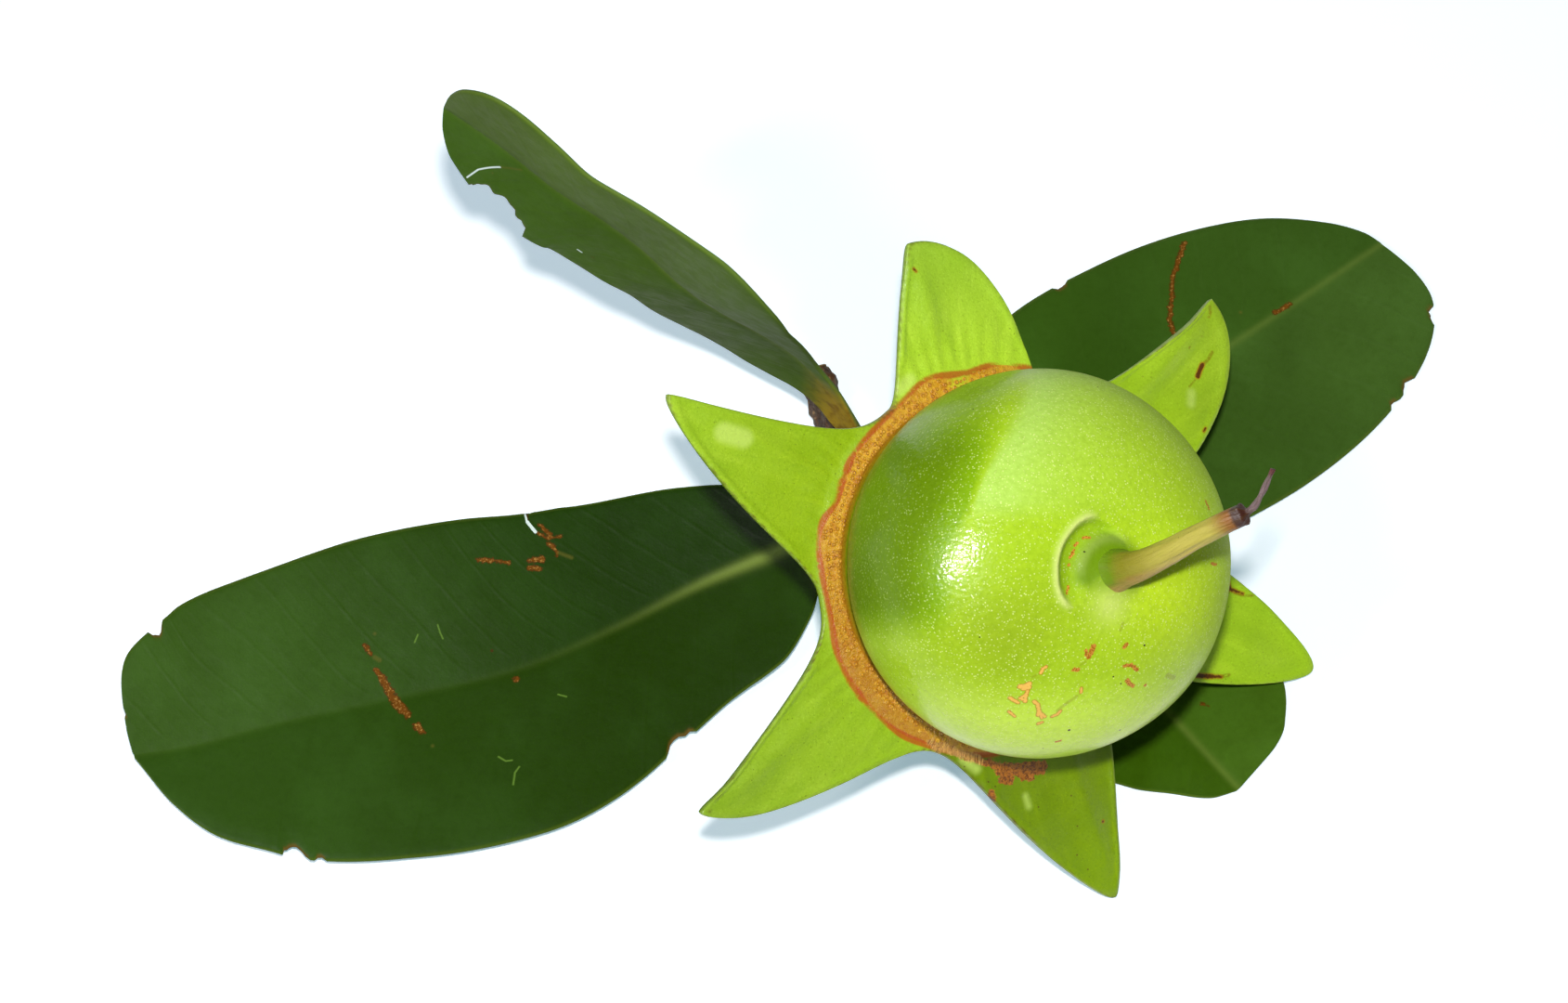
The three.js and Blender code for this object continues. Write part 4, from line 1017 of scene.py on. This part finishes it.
            grown = size * rng.uniform(0.72, 1.12)
            middle = np.array([far * cos(spin), far * sin(spin), RING_HEIGHT + band(far) + 0.02])
            made.add(middle + grown * dome, grid(*dome.shape[:2], True), ring=1.0, top=1.0, out=far,
                     papilla=(browns + 0 * corner) * rng.uniform(0.6, 1),
                     dimple=(pales + 0 * corner) * rng.uniform(0.4, 1),
                     bearing=np.degrees(spin) * BEARING_SCALE, tint=shade(200, 150, 40))
    made.points = [on_table(part) for part in made.points]
    return made


# ---- Pedicel and twig ----


def stem_path():
    return Path([tuple(on_table(np.array([0, 0, STEM_TOP])))] + STEM_PATH)


def pedicel_skin():
    path = stem_path()

    def uneven(share, turn):
        return 0.09 * np.cos(5 * turn + 2 * share) + 0.05 * np.sin(11 * turn + 30 * share)

    points, share, turn = stalk(path, 0, path.length * PEDICEL_SHARE, PEDICEL_RADII, 60, 48, uneven)
    return stalk_skin(points, share, turn)


def twig_skin():
    path = stem_path()
    start = path.length * PEDICEL_SHARE + TWIG_GAP

    def uneven(share, turn):
        ridges = 0.22 * np.cos(5 * turn)
        way = np.stack([3 * np.cos(turn), 3 * np.sin(turn), 30 * share], -1)
        rings = 0.12 * np.sin(2 * pi * 11 * share + np.sin(turn))
        scar = -0.5 * hill(share - 0.62, 0.03) * hill(np.cos(turn - 1.1) - 1, 0.4)
        return ridges + rings + 0.14 * lumps(way, 1.6, 3) + 0.07 * lumps(way, 0.6, 6) + scar

    points, share, turn = stalk(path, start, path.length, TWIG_RADII, 240, 96, uneven)
    points[..., 2] = np.maximum(points[..., 2], 0.0)
    return stalk_skin(points, share, turn, cut=rise(share, 0.992, 0.998))


# ---- Leaves ----

# Greens of the right and left halves near the foot and near the apex, which hold painted light and shade as
# well as the leaf's own green: the halves differ partly by how each faces the light, and the lower left leaf is
# painted darker towards its foot, partly for the calyx's shadow there. Then how clear the pale and dark side
# veins are, and how clear the midrib is along the leaf.
LEAF_LOOKS = {
    "leaf_lower_left": dict(
        foot=(shade(28, 55, 0), shade(32, 58, 0)), apex=(shade(56, 88, 22), shade(48, 80, 16)),
        pale=0.04, dark=0.04, rib=[(0, 1), (18, 0.8), (30, 0.3), (42, 0.1), (60, 0.03), (100, 0.03)]),
    "leaf_upper_left": dict(
        foot=(shade(88, 114, 50), shade(74, 100, 30)), apex=(shade(80, 106, 32), shade(62, 96, 14)),
        pale=0.1, dark=0.08, rib=[(0, 0.6), (18, 0.25), (30, 0.3), (60, 0.1), (84, 0.0)]),
    "leaf_upper_right": dict(
        foot=(shade(60, 92, 28), shade(56, 90, 20)), apex=(shade(66, 97, 34), shade(58, 90, 26)),
        pale=0.1, dark=0.05, rib=[(0, 1), (20, 0.5), (40, 0.3), (79, 0.25)]),
    "leaf_lower_right": dict(
        foot=(shade(54, 86, 2), shade(60, 92, 8)), apex=(shade(56, 88, 6), shade(68, 102, 22)),
        pale=0.08, dark=0.06, rib=[(0, 1), (20, 0.6), (40, 0.4), (57, 0.3)]),
}
# Strokes on each leaf's map, (along, across) from its foot: (half width, points of the line).
LEAF_STROKES = {
    "leaf_lower_left": dict(
        scars=[(0.14, [(40.2, -15.5), (39.3, -14.3), (37.7, -13.8)]), (0.14, [(39.4, -16.3), (38.8, -14.7)]),
               (0.15, [(39.4, -13.6), (39, -12.6), (39, -11.8)]),
               (0.2, [(51.2, -15.1), (48.5, -14.5), (46.1, -13.5)]), (0.33, [(42.9, -12.7), (41.2, -12.1)]),
               (0.24, [(43.5, -11.8), (42, -11.2)]), (0.28, [(50.6, 1.3)]),
               (0.17, [(68.7, -7.6), (68.1, -6.3)]), (0.28, [(67.8, -4), (67.3, -2.9)]),
               (0.46, [(67.3, -2.9), (66.9, -1.3), (66.4, 0)]), (0.57, [(66.4, 0), (65.7, 1.5)]),
               (0.43, [(65.7, 1.5), (65, 2.7)]), (0.36, [(64.1, 4.4), (63.7, 5.3)])],
        faint=[(0.22, [(67.7, -5.7), (67.2, -5.2)]), (0.14, [(62.6, 7.5)]), (0.13, [(67.1, -8.7)]),
               (0.17, [(38.8, -12), (37.6, -10.7)])],
        knots=[(0.2, [(52.7, -3.2)]), (0.11, [(40.3, -18.6), (40.6, -17.6)])],
        slits=[(0.13, [(40.6, -18.6), (40.8, -17.6)]), (0.22, [(40.8, -17.4), (40.4, -15.8)])],
        scratches=[(0.07, [(59, -8.1), (58.9, -7.1), (58.7, -6.2)]), (0.07, [(61.8, -7.4), (62.4, -6.5)]),
                   (0.08, [(55, 10.8), (54.3, 11.6), (53.6, 11.7)]),
                   (0.08, [(53, 12.8), (53.6, 13.4), (54.1, 14.9)]),
                   (0.07, [(46.5, 5.1), (45.7, 5.8)])]),
    "leaf_lower_right": dict(scars=[(0.14, [(46, 4), (46.6, 4.4)])]),
    "leaf_upper_left": dict(
        slits=[(0.14, [(77.9, 10.2), (76.7, 7.2), (74.1, 3.7)]), (0.13, [(56.4, 9.8), (55.6, 9.8)])],
        scars=[(0.1, [(54.4, 9.2)])],
        faint=[(0.11, [(74.4, 5.9)]), (0.1, [(68.2, 11.6)]), (0.11, [(74.1, 3.7), (71.9, 1.1)])]),
    "leaf_upper_right": dict(
        scars=[(0.22, [(61.1, 0.4), (63.5, 0.1)]),
               (0.25, [(57.6, 15.4), (53.1, 12.2), (49.1, 7.5), (48.3, 5.2)])],
        faint=[(0.15, [(57.4, 3)])]),
}
# The leaves' maps lie side by side, this far apart. A side vein runs slant x distance ** bow up the leaf.
LEAF_MAP_STEP = 150
VEIN_SLANT, VEIN_BOW = 1.15, 0.8


def leaf_marks(kind):
    """The strokes of one kind on all four leaves."""
    return [(half, [(x + LEAF_MAP_STEP * i, y) for x, y in line])
            for i, name in enumerate(sorted(LEAF_STROKES)) for half, line in LEAF_STROKES[name].get(kind, [])]


def leaf_skin(name):
    leaf, looks = LEAVES[name], LEAF_LOOKS[name]
    path = Path(leaf["path"])
    length = path.length
    end = leaf["left"][-1][0]
    rows, half = 230, 40
    station = end * (0.5 - 0.5 * np.cos(pi * np.linspace(0, 1, rows)))
    seed = sorted(LEAVES).index(name)
    fine = np.linspace(0, 1, 500)

    def slanted(at, offset, slant):
        return at + np.abs(offset) * slant * (at / length) ** 3

    def half_width(side, slant, sign):
        """The half width at each station, drawn in where something has bitten the margin."""
        wide = np.maximum(along(side, station), 0.05)
        offset = wide[:, None] * fine
        distance = slanted(station[:, None], offset, slant)
        eaten = np.zeros(offset.shape, bool)
        for place, across, radius in leaf["bites"]:
            if across * sign < 0:
                continue
            dx, dy = distance - place, offset * sign - across
            turn = np.arctan2(dy, dx)
            nibbled = radius * (1 + 0.07 * np.sin(7 * turn + place) + 0.05 * np.sin(13 * turn + 2 * place))
            eaten |= np.hypot(dx, dy) < nibbled
        first = np.where(eaten.any(1), eaten.argmax(1), len(fine) - 1)
        return wide * fine[first], wide

    left, whole_left = half_width(leaf["left"], leaf["sweep"][0], 1)
    right, whole_right = half_width(leaf["right"], leaf["sweep"][1], -1)
    spread_out = np.linspace(0, 1, half + 1)
    spread_out = spread_out * (0.65 + 0.35 * spread_out)
    spread_out = spread_out / spread_out[-1]
    offset = np.hstack([-(right[:, None] * spread_out[::-1]), left[:, None] * spread_out[1:]])
    slant = np.where(offset > 0, leaf["sweep"][0], leaf["sweep"][1])
    distance = slanted(station[:, None], offset, slant)
    margin = np.minimum(left[:, None] - offset, offset + right[:, None])
    bitten = np.where(offset > 0, (left < whole_left - 0.15)[:, None], (right < whole_right - 0.15)[:, None])

    flat = np.clip(distance, 0, length)
    headings = path.heading(flat)
    faces = np.array(leaf["face"], float)
    face = faces[0] + (faces[1] - faces[0]) * (flat / length)[..., None]
    across = unit(np.cross(face, headings))
    up = np.cross(headings, across)
    base = path.at(flat) + headings * (distance - flat)[..., None]

    away = np.abs(offset)
    groove = hill(offset, 0.9)
    vein_phase = (distance - VEIN_SLANT * away ** VEIN_BOW) / VEIN_SPACING
    quilt = 0.012 * np.cos(2 * pi * vein_phase) * rise(away, 1, 4) * rise(margin, 0, 2)
    wave = 0.1 * (1 + lumps(np.stack([distance, offset], -1), 14, 40 + seed)) * rise(margin, -1, 3)
    rib_above = along([(0, 0.7), (14, 0.15), (length, 0)], station)[:, None]
    rib_below = along([(0, 0.9), (14, 0.55), (length * 0.6, 0.2), (length, 0)], station)[:, None]
    thick = LEAF_THICK / 2 * rise(margin, -0.35, 0.35)
    ridge = hill(offset, 1.2)
    fall = away * leaf["fold"]
    upper = fall + thick + rib_above * ridge - 0.13 * groove * rise(distance, 16, 24) + quilt + wave
    lower = fall - thick - rib_below * ridge + 0.4 * wave
    points = np.stack([base + across * offset[..., None] + up * h[..., None] for h in (upper, lower)])
    points[..., 2] = np.maximum(points[..., 2], 0.02)

    petiole = 1 - rise(station[:, None] + 1.2 * away, 12, 22) if name == "leaf_upper_left" else (
        0.8 * (1 - rise(station[:, None], 5, 12)) + 0 * offset)
    widen = 0.45 + 1.1 * np.exp(-station / 16)[:, None]
    values = dict(
        down=distance, over=offset, margin=hill(margin, 0.3), browned=hill(margin, 0.32) * bitten * 0.8,
        map_x=distance + LEAF_MAP_STEP * seed, map_y=offset, petiole=np.clip(petiole, 0, 1),
        rib=np.clip(along(looks["rib"], station)[:, None] * hill(offset, widen), 0, 1))
    # The halves' greens carry painted light and shade as well as the leaf's own green.
    blend = rise(offset, -1.0, 1.0)[..., None]
    share = rise(station / end, 0.3, 0.95)[:, None, None]
    foot, apex = (np.array(looks[key][0]) * (1 - blend) + np.array(looks[key][1]) * blend
                  for key in ("foot", "apex"))
    tint = foot * (1 - share) + apex * share
    values.update(tint=tint, pale_veins=looks["pale"], dark_veins=looks["dark"])
    faces_up = grid(rows, 2 * half + 1, False)
    made = Skin()
    for side in (0, 1):
        made.add(points[side], faces_up, top=1.0 - side, **values)
    count = rows * (2 * half + 1)
    index = np.arange(count).reshape(rows, 2 * half + 1)
    outline = np.concatenate([index[0, :-1], index[:-1, -1], index[-1, :0:-1], index[:0:-1, 0]])
    after = np.roll(outline, -1)
    made.faces.append(np.stack([outline, after, after + count, outline + count], -1))
    return made


# ---- Operators ----


class APPLE_OT_berry(bpy.types.Operator):
    """Grow the berry, with its pit, flakes and dots"""
    bl_idname = "apple.berry"
    bl_label = "Berry"

    def execute(self, context):
        berry_skin().piece("berry_skin", "berry", "berry_skin", berry_finish(context.scene.apple_berry))
        return {"FINISHED"}


class APPLE_OT_style(bpy.types.Operator):
    """Grow the withered style and its dry thread"""
    bl_idname = "apple.style"
    bl_label = "Style"

    def execute(self, context):
        style_skin().piece("style_stalk", "style", "style_tissue", style_finish(context.scene.apple_style))
        return {"FINISHED"}


class APPLE_OT_calyx(bpy.types.Operator):
    """Grow the six-pointed calyx with its ring of stamen scars"""
    bl_idname = "apple.calyx"
    bl_label = "Calyx"

    def execute(self, context):
        looks = context.scene.apple_calyx
        calyx_skin(looks.papilla).piece("calyx_star", "calyx", "calyx_skin", calyx_finish(looks))
        return {"FINISHED"}


class APPLE_OT_stem(bpy.types.Operator):
    """Grow the green pedicel and the barky twig"""
    bl_idname = "apple.stem"
    bl_label = "Pedicel and twig"

    def execute(self, context):
        looks = context.scene.apple_stem
        pedicel_skin().piece("pedicel_stalk", "pedicel", "green_stem", pedicel_finish(looks))
        twig_skin().piece("twig_stub", "twig", "twig_bark", twig_finish(looks))
        return {"FINISHED"}


class APPLE_OT_leaves(bpy.types.Operator):
    """Grow the four leaves, with their veins, scars and bites"""
    bl_idname = "apple.leaves"
    bl_label = "Leaves"

    def execute(self, context):
        finish = leaf_finish(context.scene.apple_leaf)
        for name in LEAVES:
            leaf_skin(name).piece(name.replace("leaf", "blade"), name, "leaf_blade", finish)
        return {"FINISHED"}


class APPLE_OT_stage(bpy.types.Operator):
    """Lay the paper and set the lamps and the camera"""
    bl_idname = "apple.stage"
    bl_label = "Stage"

    def execute(self, context):
        looks = context.scene.apple_stage
        lay_paper(looks)
        set_lamps(looks)
        set_camera(context.scene)
        return {"FINISHED"}


# ---- Stage ----

KEY_PLACE = (0.0008, -0.1007, 0.462)
KEY_WIDTH = 0.022
SIDE_WAY = (-0.548, -0.230, 0.805)
SIDE_REACH = 0.55
SIDE_SIZE = (0.06, 0.12)
GLEAM_SIZE = (0.06, 0.28)
CAMERA_PLACE = (-0.000716, -0.142718, 0.45955)
CAMERA_TILT = radians(18)
LENS = 85
SENSOR = 36
PAPER_HALF = 3.0
# The paper's own glow near the sprig, which whitens it: further off it turns white. Mirrored, it is dimmer.
GLOW_COLOUR = (0.55, 0.82, 1.0)
GLOW_NEAR = 0.42
GLOW_MIRRORED = 0.15


def lay_paper(looks):
    mesh = bpy.data.meshes.new("paper")
    r = PAPER_HALF
    mesh.from_pydata([(-r, -r, 0), (r, -r, 0), (r, r, 0), (-r, r, 0)], [], [(0, 1, 2, 3)])
    f = Finish("white_paper")
    surface = f.surface
    grain = f.step(f.noise(2.0, 3.0, 0.6), 0.3, 0.7)
    f.feed(surface.inputs["Base Color"], f.blend(grain, looks.paper, [v * 0.98 for v in looks.paper]))
    surface.inputs["Roughness"].default_value = 0.9
    surface.inputs["Specular IOR Level"].default_value = 0.2
    rays = f.add("ShaderNodeLightPath")
    camera, glossy, through = (
        Amount(f, rays, "Is %s Ray" % kind) for kind in ("Camera", "Glossy", "Transmission"))
    seen = f.math("MAXIMUM", camera, f.math("MAXIMUM", glossy, through) * GLOW_MIRRORED)
    away = f.vector("LENGTH", 1, v0=f.place)
    glow = f.blend(f.step(away, 200, 600), GLOW_COLOUR, (1.0, 1.0, 1.0))
    lift = f.add("ShaderNodeEmission", inputs={"Color": glow})
    f.feed(lift.inputs["Strength"], seen * f.step(away, 200, 700, GLOW_NEAR, 1.0))
    both = f.add("ShaderNodeAddShader", {0: Amount(f, surface), 1: Amount(f, lift)})
    f.tree.links.new(both.outputs[0], f.output.inputs[0])
    mesh.materials.append(f.material)
    paper = bpy.data.objects.new("paper", mesh)
    bpy.context.scene.collection.objects.link(paper)


def lamp(name, place, aim, size, power, colour):
    data = bpy.data.lights.new(name, "AREA")
    data.shape = "ELLIPSE"
    data.size, data.size_y = size
    data.energy = power
    data.color = colour
    thing = bpy.data.objects.new(name, data)
    thing.location = place
    way = Vector(aim) - thing.location
    thing.rotation_euler = way.to_track_quat("-Z", "Y").to_euler()
    bpy.context.scene.collection.objects.link(thing)
    return thing


def set_lamps(looks):
    key = lamp("key_lamp", KEY_PLACE, (0.0, 0.0, 0.02), (KEY_WIDTH, KEY_WIDTH), looks.key, (1.0, 0.99, 0.97))
    key.visible_glossy = False
    middle = np.array([0.03, -0.0127, 0.045])
    place = tuple(middle + np.array(SIDE_WAY) * SIDE_REACH)
    side = lamp("side_lamp", place, tuple(middle), SIDE_SIZE, looks.side, (1.0, 1.0, 1.0))
    side.visible_glossy = False
    gleam = lamp("gleam_lamp", place, tuple(middle), GLEAM_SIZE, looks.gleam, (1.0, 1.0, 1.0))
    gleam.visible_diffuse = False
    world = bpy.data.worlds.new("room")
    bpy.context.scene.world = world
    world.use_nodes = True
    tree = world.node_tree
    tree.nodes.clear()
    output = tree.nodes.new("ShaderNodeOutputWorld")
    room = tree.nodes.new("ShaderNodeBackground")
    room.inputs["Color"].default_value = (0.9, 0.96, 1.0, 1)
    room.inputs["Strength"].default_value = looks.fill
    tree.links.new(room.outputs[0], output.inputs[0])


def set_camera(scene):
    data = bpy.data.cameras.new("camera")
    data.lens = LENS
    data.sensor_width = SENSOR
    data.clip_start, data.clip_end = 0.01, 20
    camera = bpy.data.objects.new("camera", data)
    camera.location = CAMERA_PLACE
    camera.rotation_euler = (CAMERA_TILT, 0, 0)
    scene.collection.objects.link(camera)
    scene.camera = camera
    scene.view_settings.view_transform = "Standard"


# ---- Panel ----


class APPLE_PT_panel(bpy.types.Panel):
    bl_idname = "APPLE_PT_panel"
    bl_label = "Mangrove Apple"
    bl_space_type = "VIEW_3D"
    bl_region_type = "UI"
    bl_category = "Mangrove Apple"

    def draw(self, context):
        for operator, settings in PIECES:
            box = self.layout.box()
            box.operator(operator.bl_idname)
            looks = getattr(context.scene, settings)
            for key in looks.bl_rna.properties.keys():
                if key not in ("rna_type", "name"):
                    box.prop(looks, key)


SETTINGS = {
    "apple_berry": BerrySettings, "apple_style": StyleSettings, "apple_calyx": CalyxSettings,
    "apple_stem": StemSettings, "apple_leaf": LeafSettings, "apple_stage": StageSettings,
}
PIECES = [(APPLE_OT_stage, "apple_stage"), (APPLE_OT_berry, "apple_berry"), (APPLE_OT_style, "apple_style"),
          (APPLE_OT_calyx, "apple_calyx"), (APPLE_OT_stem, "apple_stem"), (APPLE_OT_leaves, "apple_leaf")]


def register():
    for name, group in SETTINGS.items():
        bpy.utils.register_class(group)
        setattr(bpy.types.Scene, name, bpy.props.PointerProperty(type=group))
    for operator, _ in PIECES:
        bpy.utils.register_class(operator)
    bpy.utils.register_class(APPLE_PT_panel)


def unregister():
    bpy.utils.unregister_class(APPLE_PT_panel)
    for operator, _ in reversed(PIECES):
        bpy.utils.unregister_class(operator)
    for name, group in SETTINGS.items():
        delattr(bpy.types.Scene, name)
        bpy.utils.unregister_class(group)


def main():
    register()
    bpy.ops.apple.stage()
    bpy.ops.apple.berry()
    bpy.ops.apple.style()
    bpy.ops.apple.calyx()
    bpy.ops.apple.stem()
    bpy.ops.apple.leaves()


if __name__ == "__main__":
    main()
